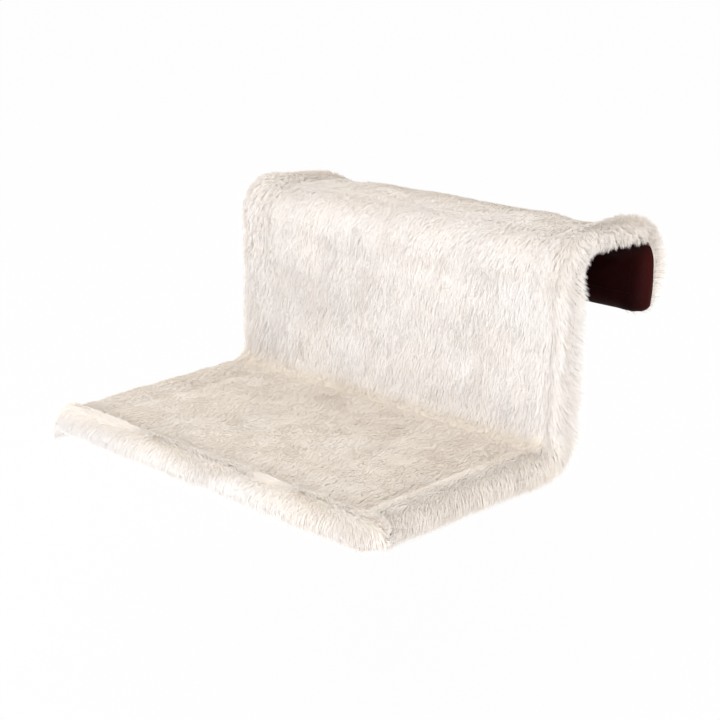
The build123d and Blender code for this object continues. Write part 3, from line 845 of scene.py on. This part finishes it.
# %% Pile of the panels and the rolls' crests: brushed down the back and forward along the seat
pile_pieces = []
parts_across = {"seat": 4, "back": 3, "top": 3, "rear": 1}
sheet_cell, columns_across = 0.004, 110
seat_start = 0.005
front_blend, front_half, front_fade = 0.014, 0.205, 0.03
side_from, side_fade = 0.178, 0.03
panel_pull, panel_steep = 0.14, 0.38
reach_uneven, reach_crease, reach_front = 0.07, -0.45, -0.35
steep_uneven, steep_crease, steep_front, steep_hem, steep_lock = 0.03, 0.10, -0.24, 0.50, 0.45
# Painted shade in the crease: the pile there is painted creamier and darker
crease_painted_shade, gather_side = 0.55, 4.5
swirl_uneven, swirl_out, swirl_from, swirl_fade = 0.16, 0.25, 0.17, 0.04
stand_marks = [0, 0, 0, 0, 0, 0.1, 0.3, 0.8, 1, 0.5]
gather_marks = [0.35, 0.35, 0.35, 0.45, 0.6, 0.8, 1.0, 1.0, 1.0, 1.0]
# Painted shade along the bed: creamier and darker on the seat, in the crease and over the hook, and a painted
# light, whiter, high on the back
painted_shade_marks = [0.60, 0.75, 0.90, 0.0, -0.2, 0.10, 0.40, 0.50, 0.50, 0.40]
sideways = np.array([1.0, 0, 0])


def unit(vectors):
    """Vectors of length 1."""
    return vectors / np.maximum(np.linalg.norm(vectors, axis=-1, keepdims=True), 1e-9)


def swirl(points):
    """How far the brushing turns sideways: a little everywhere, and outwards near the side rolls."""
    x = points[..., 0]
    outwards = swirl_out * ramp(np.abs(x), swirl_from, swirl_fade) * np.sign(x)
    return (swirl_uneven * uneven(points, 0.09, 31) + outwards)[..., None] * sideways


for number, (zone, (start, end)) in enumerate(zones.items()):
    edges = np.linspace(-side_x, side_x, parts_across[zone] + 1)
    first = seat_start if zone == "seat" else start
    last = rear_bar_at + hem_bare if zone == "rear" else end
    along = np.linspace(first, last, max(9, round((last - first) / sheet_cell)))[:, None]
    for part in range(parts_across[zone]):
        x = np.linspace(edges[part], edges[part + 1], round(columns_across / parts_across[zone]))[None, :]
        points = place(x, along, skin_height(x, along) + pad_rise(x, along))
        brushed = unit(-onward(along + 0 * x) + swirl(points))
        at_crease = swell(along, crease_at, crease_width)
        at_front = swell(along, 0, front_blend) * ramp(-np.abs(x), -front_half, front_fade)
        on_side = ramp(np.abs(x), side_from, side_fade)
        reach = 1 + reach_uneven * uneven(points, 0.05, 37)
        reach = reach * (1 + reach_crease * at_crease) * (1 + reach_front * at_front)
        steep = panel_steep + steep_uneven * uneven(points, 0.04, 41)
        steep = steep + steep_crease * at_crease + steep_front * at_front
        steep = steep + steep_hem * ramp(along, rear_bar_at, hem_bare)
        steep = steep + steep_lock * on_side * between(along, stand_marks)
        # Painted shade for the panels' pile, from the places along the bed and the crease
        painted_shade = between(along, painted_shade_marks) + crease_painted_shade * at_crease + 0 * x
        gather = 1 + gather_side * on_side * between(along, gather_marks) ** 2
        sheet = sheet_of(points, brushed, reach, steep, painted_shade, gather)
        pile = grow(f"{zone}_pile_{part + 1}", sheet, 100 + number * 10 + part, Tuft_Pull=panel_pull)
        pile_pieces.append(pile)

# %% Pile of the side rolls' outer halves: brushed down and away from the panels
lock_sizes = {"Strands_per_Area": 1050000.0, "Strand_Radius": 0.00022, "Tuft_Size": 0.0055}
lock_sizes.update({"Tuft_Pull": 0.80, "Stray": 0.14})
leg_share_marks = [0, 0, 0, 0, 0, 0, 0.1, 0.3, 1, 1]
trim_marks = [0, 0, 0, 0, 0, 0.6, 1, 1, 0.6, 0]
around_marks = [0.35, 0.35, 0.45, 0.70, 0.75, 0.75, 0.75, 0.75, 0.75, 0.75]
bush_marks = {
    -1: [0.65, 1.0, 1.0, 0.95, 1.1, 1.2, 1.0, 0.95, 1.05, 1.0],
    1: [1.1, 1.1, 1.15, 1.35, 1.15, 1.05, 1.05, 1.15, 1.15, 0.8],
}
# Painted shade on the side rolls: the left roll is painted creamier and darker than the right
roll_painted_shade = {-1: 0.8, 1: 0.45}
trim_depth, trim_below, trim_fade = 0.42, 0.6, 0.9
steep_outer, steep_nose, nose_blend = 0.18, 0.25, 0.016
turn_step = 1e-3
for side_name, side in {"left": -1, "right": 1}.items():
    along = np.linspace(roll_from, roll_to - 0.0015, 150)[:, None]
    lowest = between(along, wrap_marks) - 0.04
    turn = lowest + (math.pi / 2 - lowest) * np.linspace(0, 1, 26)[None, :]
    points = outer_point(side, turn, along)
    around = unit(outer_point(side, turn - turn_step, along) - outer_point(side, turn + turn_step, along))
    outer = np.cos(turn)
    on_leg = between(along, leg_share_marks)[..., None]
    backward = -onward(along + 0 * turn) * (1 - 0.5 * outer[..., None]) * (1 - 0.4 * on_leg)
    sideward = 0.25 + between(along, around_marks)[..., None] * outer[..., None]
    brushed = unit(backward + around * sideward * (1 - 1.6 * on_leg))
    reach = (0.92 + 0.15 * outer) * between(along, bush_marks[side])
    reach = reach * (1 - trim_depth * between(along, trim_marks) * ramp(-turn, -trim_below, trim_fade))
    steep = 0.40 + steep_outer * outer + steep_lock * between(along, stand_marks)
    steep = steep + steep_nose * swell(along, roll_from, nose_blend)
    # Painted shade on the rolls' pile
    painted_shade = between(along, painted_shade_marks) * roll_painted_shade[side] + 0 * turn
    gather = between(along, gather_marks) * (0.5 + 0.5 * outer)
    sheet = sheet_of(points, brushed, reach, steep, painted_shade, gather, flip=side > 0)
    pile_pieces.append(grow(side_name + "_roll_pile", sheet, 200 + side, **lock_sizes))

# %% Pile of the front roll: brushed forward over the top and down the front
front_density = 1000000.0
crest_turn, crest_spread = math.radians(85), math.radians(38)
under_turn, under_spread = math.radians(120), math.radians(100)
tip_from, tip_fade, tip_turn = 0.195, 0.03, math.radians(110)
kept_from, kept_to = math.radians(58), math.radians(290)
reach_under, reach_tip = -0.25, -0.40
steep_under, steep_crest, steep_tip = -0.14, 0.10, -0.20
# Painted shade and light on the front roll: creamier and darker along its top, and whiter, a painted light,
# on its front and underside away from its right end
front_painted_shade, crest_painted_shade, under_painted_light = 0.05, 0.40, -0.40
ends = (1 - np.cos(np.linspace(0, math.pi / 2, 9))) * front_nose
half_places = {
    "left": np.concatenate([front_roll_left + ends, np.linspace(-0.212, 0, 50)]),
    "right": np.concatenate([np.linspace(0, 0.2, 50), (front_roll_half - ends)[::-1]]),
}
turn = np.radians(np.linspace(0, 360, 37))[None, :]
for half, x in half_places.items():
    x = x[:, None]
    on_skin = (turn < math.pi / 2) & (np.abs(x) < side_x)
    at = front_radius * np.cos(turn)
    points = np.where(on_skin[..., None], place(x, at, skin_height(x, at)), front_point(x, turn))
    round_turn = np.where(on_skin, math.pi / 2, turn)
    tangent = place(x, -np.sin(round_turn), np.cos(round_turn)) - place(x, 0, 0)
    brushed = unit(tangent + swirl(points))
    kept = (np.abs(x) > side_x - 0.004) | ((turn > kept_from) & (turn < kept_to))
    below = ramp(turn, under_turn, under_spread)
    flat_tip = ramp(-x, tip_from, tip_fade) * ramp(-turn, -tip_turn, 1.0)
    on_crest = swell(turn, crest_turn, crest_spread)
    reach = 1 + reach_under * below + reach_tip * flat_tip
    steep = panel_steep + steep_under * below
    steep = steep + steep_crest * on_crest * (1 - flat_tip) + steep_tip * flat_tip
    # Painted light: where the roll faces forward and down, away from its right end, the pile is painted
    # whiter
    lit_under = np.minimum(below * 3, 1) * ramp(-x, -0.13, 0.10)
    painted_shade = front_painted_shade + crest_painted_shade * on_crest + under_painted_light * lit_under
    sheet = sheet_of(points, brushed, reach, steep, painted_shade, kept=kept)
    inputs = {"Strands_per_Area": front_density, "Tuft_Pull": panel_pull}
    pile_pieces.append(grow("front_pile_" + half, sheet, 300 + (half == "left"), **inputs))

# %% [markdown]
# ## Lining
# The inside of the cover is a thin, dark brown knitted lining. It spans from tube to tube, wraps a
# little way up the side rolls and goes round the hem at the hook's end. It is one grid of points across
# and along the profile, with a window left open for the zip. Held at its edges, at the bars and round
# the window, it is then simulated with some slack, so that it sags and puckers between them.

# %% Lining finish: a fine knit with a faint red sheen, painted near black as shade and redder towards the hook's end as painted light
# Painted shade: the dark end is near black, darker than the lining's own brown, for the shade inside the hook
lining_dark = (0.0012, 0.0004, 0.0004, 1)
lining_red = (0.0640, 0.0070, 0.0065, 1)
lining_sheen = {"Sheen_Weight": 0.010, "Sheen_Roughness": 0.35, "Sheen_Tint": (0.80, 0.22, 0.20, 1)}
rib_pitch = 0.0014
lining_finish, graph, where = finish("lining_knit", Specular_IOR_Level=0.05, **lining_sheen)
across, deep, high = graph.parts(where)
rib_count = 2 * math.pi / rib_pitch
ribs = graph.maths("SINE", across * rib_count) * 0.5 + 0.5
rows = graph.maths("SINE", (deep + high) * rib_count * 1.3) * 0.5 + 0.5
knit = ribs * 0.6 + rows * 0.4
worn = graph.noise(where, 22, 4, 0.6)
# Painted light: the lining is painted redder towards the hook's end, where light reaches into the hook
painted_light_share = graph.clamped((deep - 0.040) * 45.0)
red_share = graph.clamped(worn * 0.4 + knit * 0.12 + painted_light_share * 0.6 - 0.16)
graph.wire(
    Base_Color=graph.mixed(red_share, lining_dark, lining_red),
    Roughness=graph.noise(where, 60, 3) * 0.25 + 0.45,
    Normal=graph.bumped(knit + graph.noise(where, 900, 2) * 0.5, 0.0003, 0.7),
)

# %% Lining grid: flat between the tubes, round the rolls at its sides and round the hem at its end
lining_flat_half = 0.2145
lining_gap = 0.0009
lining_from, lining_cell = 0.0132, 0.0055
lining_thickness = 0.0007
zip_at = knots[1] + cuts[0] - 0.072
zip_half_length, zip_half_width = 0.185, 0.0065
wrap_columns, hem_rows = 6, 8
hem_wrap = math.radians(105)


def with_places(values, extra):
    """Grid places with a few exact ones among them, and none closer to those than a third of a cell."""
    kept = [v for v in values if min(abs(v - e) for e in extra) > lining_cell / 3]
    return np.sort(np.concatenate([kept, extra]))


along = np.arange(lining_from, rear_bar_at - lining_cell / 2, lining_cell)
along = with_places(along, [lining_from, zip_at - zip_half_width, zip_at + zip_half_width, rear_bar_at])
x = np.linspace(-lining_flat_half, lining_flat_half, round(2 * lining_flat_half / lining_cell))
x = with_places(x, [-lining_flat_half, -zip_half_length, zip_half_length, lining_flat_half])


def off_roll(side, turn, along):
    """A point just outside a side roll."""
    middle = (between(along, crest_marks[side]) + roll_floor) / 2
    centre = place(side * side_x, along, middle)
    return centre + (outer_point(side, turn, along) - centre) * (1 + lining_gap / roll_reach)


past = np.linspace(0, 1, hem_rows + 1)[1:, None]
hem_turn = math.pi + hem_wrap * past
main = place(x[None, :], along[:, None], lining_height)
centre = place(x[None, :], rear_bar_at, 0)
over_caps = 1 - 0.5 * ramp(np.abs(x[None, :]), 0.196, 0.008)
round_hem = centre + (hem_point(x[None, :], hem_turn, over_caps) - centre) * (1 + 0.0006 / hem_lining)
along_all = np.concatenate([along[:, None], rear_bar_at - hem_fall * np.sin(hem_turn)])
along_all = np.minimum(along_all, roll_to - 0.0004)
past_all = np.concatenate([along[:, None] * 0, past])
first_turn = lowest_turn + math.radians(85) * past_all
last_turn = between(along_all, wrap_marks) + math.radians(35) * past_all
share = np.linspace(0.12, 1, wrap_columns)[None, :]
turn = first_turn + (last_turn - first_turn) * share
wraps = {side: off_roll(side, turn, along_all) for side in (-1, 1)}
lining_points = np.concatenate([wraps[-1][:, ::-1], np.concatenate([main, round_hem]), wraps[1]], 1)
rows_total, columns_total = lining_points.shape[:2]
faces = np.array(grid_faces(rows_total, columns_total))
x_all = np.concatenate([np.full(wrap_columns, -side_x), x, np.full(wrap_columns, side_x)])
cell_x = (x_all[:-1] + x_all[1:]) / 2
along_flat = np.concatenate([along, np.full(hem_rows, rear_bar_at + hem_fall)])
cell_along = (along_flat[:-1] + along_flat[1:]) / 2
in_window = np.abs(cell_along[:, None] - zip_at) < zip_half_width
in_window = in_window & (np.abs(cell_x[None, :]) < zip_half_length)
lining = mesh_piece("lining", lining_points, faces[~in_window.ravel()][:, ::-1].tolist(), lining_finish)
print("lining", len(lining.data.vertices), "points, zip at", round(float(zip_at), 4))

# %% Lining: it sags and puckers where nothing holds it
held_sides, held_bar, held_window = 0.2075, 0.0065, 0.0045
lining_slack, lining_sag = 0.035, 0.0055
grid_along = np.broadcast_to(along_flat[:, None], (rows_total, columns_total))
grid_x = np.broadcast_to(x_all[None, :], (rows_total, columns_total))
held = np.abs(grid_x) > held_sides
for bar_at in (lining_from, lower_bar_at, rear_bar_at):
    held = held | (np.abs(grid_along - bar_at) < held_bar)
held = held | (grid_along > rear_bar_at - held_bar)
near_zip = np.abs(grid_along - zip_at) < zip_half_width + held_window
held = held | (near_zip & (np.abs(grid_x) < zip_half_length + held_window))
start = lining_points.reshape(-1, 3)
moved = settled(lining, held.ravel(), slack=lining_slack, pressure=0.0, weight=0.6, limit=0.008, frames=18)
out = upward(grid_along.ravel())
rise = (moved * out).sum(1, keepdims=True)
settled_points = start + (moved - rise * out) * 0.5 + np.clip(rise, -lining_sag, 0.0) * out
lining.data.vertices.foreach_set("co", settled_points.astype(np.float32).ravel())
lining.data.update()
thickness = lining.modifiers.new("thickness", "SOLIDIFY")
thickness.thickness = lining_thickness
thickness.offset = 0.0

# %% [markdown]
# ## Wadding
# Under each plush panel lies a thin, springy layer of white fibre. It is hidden once the cover is sewn,
# but it is a piece of its own: a slab that fills the space between the plush and the lining, pressed
# thin over the lower crossbar and hollow over the zip.

# %% Wadding finish and slabs
wadding_finish, graph, where = cloth_finish("wadding_fibre", 0.95, 0.1, 0.15)
fibres = graph.noise(where, 260, 5, 0.7)
shade = graph.mixed(fibres, (0.74, 0.73, 0.70, 1), (0.86, 0.86, 0.84, 1))
graph.wire(Base_Color=shade, Normal=graph.bumped(fibres, 0.001))

wadding_low, wadding_high, wadding_over_bar, wadding_over_zip = -0.0070, -0.0008, -0.0067, -0.0035
wadding_half, wadding_ease, hollow_half = 0.1965, 0.001, 0.1925
wadding_slabs = {}
for zone, (start_at, end_at) in zones.items():
    rows = max(7, round((end_at - start_at) / 0.004))
    along = np.linspace(start_at + wadding_ease, end_at - wadding_ease, rows)[:, None]
    x = np.linspace(-wadding_half, wadding_half, 61)[None, :]
    puff = np.abs(uneven(place(x, along, 0), 0.02, 51)) * 0.0004
    pressed = swell(along, lower_bar_at, 0.0095, 4) * (wadding_high - wadding_over_bar)
    hollow = swell(along, zip_at, 0.016, 6) * (wadding_over_zip - wadding_low) * (np.abs(x) < hollow_half)
    top = place(x, along, wadding_high - puff - pressed)
    under = place(x, along, wadding_low + hollow * (zone == "seat") - pressed * 0.02)[:, ::-1]
    rings = np.concatenate([top, under], 1)
    wadding_slabs[zone] = ringed_piece(zone + "_wadding_slab", rings, wadding_finish)
print("wadding", list(wadding_slabs))

# %% [markdown]
# ## Zip
# The frame goes in and out through a zip under the seat. The chain, slider and pull are rigid and come
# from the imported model. The two tapes are cloth, so they are made here as thin woven strips, sewn to
# the lining with a row of stitches on each side.

# %% Tape finish and tapes
tape_finish, graph, where = cloth_finish("zip_tape_weave", 0.75, 0.25, 0.1)
across, deep, _ = graph.parts(where)
weave_count = 7200.0
slant = graph.maths("SINE", (across + deep) * weave_count) * 0.5 + 0.5
counter = graph.maths("SINE", (across - deep) * weave_count) * 0.5 + 0.5
weave = slant * counter
shade = graph.mixed(weave, (0.030, 0.012, 0.011, 1), (0.085, 0.036, 0.032, 1))
graph.wire(Base_Color=shade, Normal=graph.bumped(weave, 0.00025))

tape_height, tape_half_length = -0.0074, 0.190
tape_near, tape_far = 0.0007, 0.0137
tape_rows, tape_columns, ripple_height, ripple_count = 6, 140, 0.00012, 900.0
tapes = {}
for row_name, row_side in {"front": -1, "rear": 1}.items():
    along = zip_at + row_side * np.linspace(tape_near, tape_far, tape_rows)[:, None]
    x = np.linspace(-tape_half_length, tape_half_length, tape_columns)[None, :]
    ripple = ripple_height * np.sin(x * ripple_count) * np.linspace(0, 1, tape_rows)[:, None]
    points, faces = place(x, along, tape_height + ripple), grid_faces(tape_rows, tape_columns)
    tape = mesh_piece(f"zip_{row_name}_woven_tape", points, faces, tape_finish)
    thickness = tape.modifiers.new("thickness", "SOLIDIFY")
    thickness.thickness, thickness.offset = 0.0005, 0.0
    tapes[row_name] = tape
print("tapes", [t.name for t in tapes.values()])

# %% [markdown]
# ## Stitches
# Thread shows along every edge of the lining and round the zip. A stitch is one small bead of thread
# repeated at an even pitch along a path, which is what Geometry Nodes do best: the path becomes points
# a pitch apart, and each carries a bead turned along the path.

# %% Stitch tree
graph, stitch_inputs, given = new_tree("stitches", "Stitches", {
    "Path": ("Geometry", None),
    "Stitch Pitch": ("Float", 0.0042),
    "Stitch Length": ("Float", 0.0032),
    "Thread Radius": ("Float", 0.00032),
    "Finish": ("Material", None),
})
stitch_tree = graph.tree
line = graph.get("GeometryNodeMeshToCurve", (), {"Mesh": given["Path"]})
pitched = {"Curve": line, "Length": given["Stitch Pitch"]}
spots = graph.add("GeometryNodeCurveToPoints", {"mode": "LENGTH"}, pitched)
spots, turned = (Term(graph, spots.outputs[name]) for name in ("Points", "Rotation"))
bead = graph.get("GeometryNodeMeshUVSphere", (), {"Segments": 6, "Rings": 5, "Radius": 1.0})
size = graph.joined(given["Thread Radius"], given["Thread Radius"], given["Stitch Length"] * 0.5)
placed = {"Points": spots, "Instance": bead, "Rotation": turned, "Scale": size}
beads = graph.get("GeometryNodeInstanceOnPoints", (), placed)
beads = graph.get("GeometryNodeRealizeInstances", (), {"Geometry": beads})
beads = graph.get("GeometryNodeSetShadeSmooth", (), {"Geometry": beads})
beads = graph.get("GeometryNodeSetMaterial", (), {"Geometry": beads, "Material": given["Finish"]})
graph.add("NodeGroupOutput", (), {0: beads})

# %% Thread finish and the rows of stitches
thread_finish, graph, where = cloth_finish("brown_thread", 0.7, 0.1, 0.02)
twist = graph.noise(where, 1400, 2)
shade = graph.mixed(twist, (0.006, 0.002, 0.002, 1), (0.022, 0.006, 0.006, 1))
graph.wire(Base_Color=shade, Normal=graph.bumped(twist, 0.0002))


def stitch_row(name, points, closed=False):
    """One row of stitches along a line of points."""
    last = len(points) - 1
    edges = [(i, i + 1) for i in range(last)] + ([(last, 0)] if closed else [])
    path = mesh_piece("path", points, [], thread_finish, edges)
    return made_by(stitch_tree, path, name, {stitch_inputs["Finish"]: thread_finish})


stitch_height = lining_height - lining_thickness / 2 - 0.0001
side_along = np.arange(lining_from + 0.004, rear_bar_at - 0.010, 0.003)
across_x = np.arange(-0.2100, 0.2101, 0.006)
round_x, round_along = zip_half_length + 0.0022, zip_half_width + 0.0022
corner_x = np.array([-round_x, round_x, round_x, -round_x])
corner_along = zip_at + np.array([-round_along, -round_along, round_along, round_along])
stitch_rows = [
    stitch_row("left_lining_stitches", place(-0.2105, side_along, stitch_height)),
    stitch_row("right_lining_stitches", place(0.2105, side_along, stitch_height)),
    stitch_row("front_lining_stitches", place(across_x, lining_from + 0.003, stitch_height)),
    stitch_row("hem_lining_stitches", place(across_x, rear_bar_at - 0.0045, stitch_height)),
    stitch_row("zip_stitches", place(corner_x, corner_along, stitch_height), closed=True),
]
print("stitches", {row.name: len(row.data.polygons) for row in stitch_rows})

# %% [markdown]
# ## Hardware finishes
# The tubes, bars, screws, springs, caps and the zip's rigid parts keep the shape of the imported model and
# get their finishes here: powder coat with its orange peel, brushed and sprung steel, moulded plastic
# and lacquered zip metal that is bare at its edges. Every number varies a little over the surface.

# %% Hardware finishes
def metal(name, dark, light, rough, streak, bump):
    """A bare metal: streaks along its length, small pits and an uneven gloss."""
    material, graph, where = finish(name, Metallic=1.0)
    drawn = graph.get("ShaderNodeMapping", (), {"Vector": where, "Scale": (1.0, 1.0 / streak, 1.0)})
    lines = graph.noise(drawn, 900, 4, 0.7)
    shade, gloss = graph.mixed(lines, dark, light), graph.noise(where, 120, 3) * 0.2 + rough
    graph.wire(Base_Color=shade, Roughness=gloss, Normal=graph.bumped(lines, bump, 0.5))
    return material


powder_coat, graph, where = finish("powder_coat", Specular_IOR_Level=0.5, Coat_Weight=0.15)
peel = graph.noise(where, 1500, 2)
scuffs = graph.clamped(graph.noise(where, 45, 6, 0.7) * 4.0 - 2.35)
shade = graph.mixed(scuffs, (0.80, 0.80, 0.77, 1), (0.62, 0.62, 0.60, 1))
graph.wire(Base_Color=shade, Roughness=scuffs * 0.25 + 0.32, Normal=graph.bumped(peel, 0.00012))

zinc_plate = metal("zinc_plate", (0.48, 0.48, 0.50, 1), (0.72, 0.72, 0.73, 1), 0.22, 6.0, 0.0001)
spring_wire = metal("spring_wire", (0.36, 0.37, 0.40, 1), (0.60, 0.61, 0.64, 1), 0.20, 8.0, 0.0001)

cap_finish, graph, where = finish("moulded_cap", Specular_IOR_Level=0.45)
grain = graph.noise(where, 2200, 3, 0.6)
shade = graph.mixed(graph.noise(where, 80, 3), (0.035, 0.035, 0.036, 1), (0.060, 0.060, 0.061, 1))
graph.wire(Base_Color=shade, Roughness=grain * 0.25 + 0.4, Normal=graph.bumped(grain, 0.0001))

tooth_finish, graph, where = finish("moulded_teeth", Specular_IOR_Level=0.5)
flow = graph.noise(where, 500, 3)
shade = graph.mixed(flow, (0.055, 0.024, 0.021, 1), (0.100, 0.046, 0.040, 1))
graph.wire(Base_Color=shade, Roughness=flow * 0.2 + 0.22, Normal=graph.bumped(flow, 0.0001, 0.6))

zip_lacquer, graph, where = finish("zip_lacquer", Specular_IOR_Level=0.5)
edge = graph.get("ShaderNodeNewGeometry", (), (), "Pointiness")
chips = graph.noise(where, 650, 4, 0.7)
bare = graph.clamped((edge - 0.52) * 14.0 + (chips - 0.62) * 6.0)
shade = graph.mixed(bare, (0.130, 0.075, 0.058, 1), (0.560, 0.500, 0.430, 1))
graph.wire(Base_Color=shade, Metallic=bare * 0.5 + 0.5, Roughness=chips * 0.2 + 0.2)

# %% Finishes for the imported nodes
node_finishes = {
    powder_coat: ["left_seat_tube", "right_seat_tube", "left_hook_tube", "right_hook_tube",
                  "front_crossbar", "lower_back_crossbar", "rear_crossbar"],
    zinc_plate: ["crossbar_inserts", "crossbar_screws", "left_snap_button", "right_snap_button"],
    spring_wire: ["left_button_spring", "right_button_spring"],
    cap_finish: ["tube_end_caps"],
    tooth_finish: ["zip_front_teeth", "zip_rear_teeth"],
    zip_lacquer: ["zip_end_stops", "zip_slider", "zip_pull"],
}
for material, names in node_finishes.items():
    for name in names:
        for place_in in nodes[name].material_slots:
            place_in.material = material
print("finished nodes", sum(len(names) for names in node_finishes.values()))

# %% [markdown]
# ## What each piece stands for
# Every soft piece rides on the bed, and the imported solids that it takes the place of are hidden.

# %% The pieces ride on the bed and stand for the imported solids
slots = {
    "plush": [*pads.values(), *rolls.values(), front_roll, rear_hem, *pile_pieces],
    "lining_cloth": [lining, *stitch_rows],
    "wadding": wadding_slabs.values(),
    "zip_tape": tapes.values(),
}
for slot_name, slot_pieces in slots.items():
    for piece in slot_pieces:
        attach(piece, "bed")
for zone, pad in pads.items():
    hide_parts(zone + "_panel")
    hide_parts(zone + "_wadding")
for side_name, roll in rolls.items():
    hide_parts(*[f"{side_name}_{zone}_border" for zone in zones])
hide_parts("front_border")
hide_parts("rear_hem")
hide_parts(*[zone + "_lining" for zone in zones])
for row_name, tape in tapes.items():
    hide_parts(f"zip_{row_name}_tape")

# %% [markdown]
# ## Stage, light and camera
# The photograph was taken in a bright studio on pure white. The floor and the sky look white to the
# camera, while less of their light falls on the plush, which keeps its shadows soft but readable. One
# large lamp from the right gives the direction of the light. The camera stands where the photograph's
# did, as found by fitting the frame's outlines.

# %% Stage
def seen_by(graph, *kinds):
    """1 for rays of these kinds and 0 for all others."""
    rays = graph.add("ShaderNodeLightPath").outputs
    return sum((Term(graph, rays[f"Is {kind} Ray"]) for kind in kinds), 0.0)


def looking(name, data, target, azimuth, elevation, distance):
    """An object that looks at a target from a distance; azimuth 0 is in front of the bed."""
    a, e = math.radians(azimuth), math.radians(elevation)
    back = Vector((math.sin(a) * math.cos(e), -math.cos(a) * math.cos(e), math.sin(e)))
    viewer = bpy.data.objects.new(name, data)
    viewer.location = Vector(target) + back * distance
    viewer.rotation_euler = (-back).to_track_quat("-Z", "Y").to_euler()
    bpy.context.collection.objects.link(viewer)
    return viewer


floor_level, floor_reach = -0.55, 30
pale = (0.9, 0.9, 0.9, 1)
floor_finish, graph, where = finish("pale_floor", Roughness=0.9, Specular_IOR_Level=0.1, Base_Color=pale)
lit = Term(graph, graph.shader.outputs[0])
white = graph.get("ShaderNodeEmission", (), {"Color": (1, 1, 1, 1), "Strength": 1.0})
to_camera = seen_by(graph, "Camera", "Glossy") * 0.95
both = graph.get("ShaderNodeMixShader", (), {0: to_camera, 1: lit, 2: white})
graph.tree.links.new(both.socket, graph.end.inputs["Surface"])
floor_corners = floor_reach * np.array([[-1, -1, 0], [1, -1, 0], [1, 1, 0], [-1, 1, 0]]) + [0, 0, floor_level]
floor = mesh_piece("floor", floor_corners, [(0, 1, 2, 3)], floor_finish)
floor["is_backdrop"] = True

world = bpy.data.worlds.new("studio")
bpy.context.scene.world = world
world.use_nodes = True
world.node_tree.nodes.clear()
graph = Graph(world.node_tree)
sky_light = 0.80
shown = graph.clamped(seen_by(graph, "Camera", "Glossy", "Transmission"))
sky = {"Color": (1, 1, 1, 1), "Strength": sky_light + shown * (1.0 - sky_light)}
graph.add("ShaderNodeOutputWorld", (), {"Surface": graph.get("ShaderNodeBackground", (), sky)})

lamp = bpy.data.lights.new("key", "AREA")
lamp.size, lamp.energy = 6.0, 305
looking("key", lamp, target=(0, -0.08, -0.09), azimuth=30, elevation=27, distance=6.0)

# %% Camera
focal_pixels, frame_pixels = 1588.0, 720
camera_data = bpy.data.cameras.new("camera")
camera_data.sensor_width = 36.0
camera_data.lens = focal_pixels / frame_pixels * camera_data.sensor_width
view = {"target": (-0.0949, -0.0272, -0.1712), "azimuth": 45.63, "elevation": 16.14, "distance": 1.7653}
bpy.context.scene.camera = looking("camera", camera_data, **view)
bpy.context.scene.view_settings.view_transform = "Standard"

# %% [markdown]
# ## Sizes
# The pile stands out from the padded forms, so the dressed bed is a little larger than the imported one.
# The last line prints how far the dressed bed reaches past the imported one on each side.

# %% Sizes, and the end
visual_low, visual_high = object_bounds()
grown = np.array([*cad_low, *visual_high]) - np.array([*visual_low, *cad_high])
print("grown by", np.round(grown * 1000, 1).tolist(), "mm")
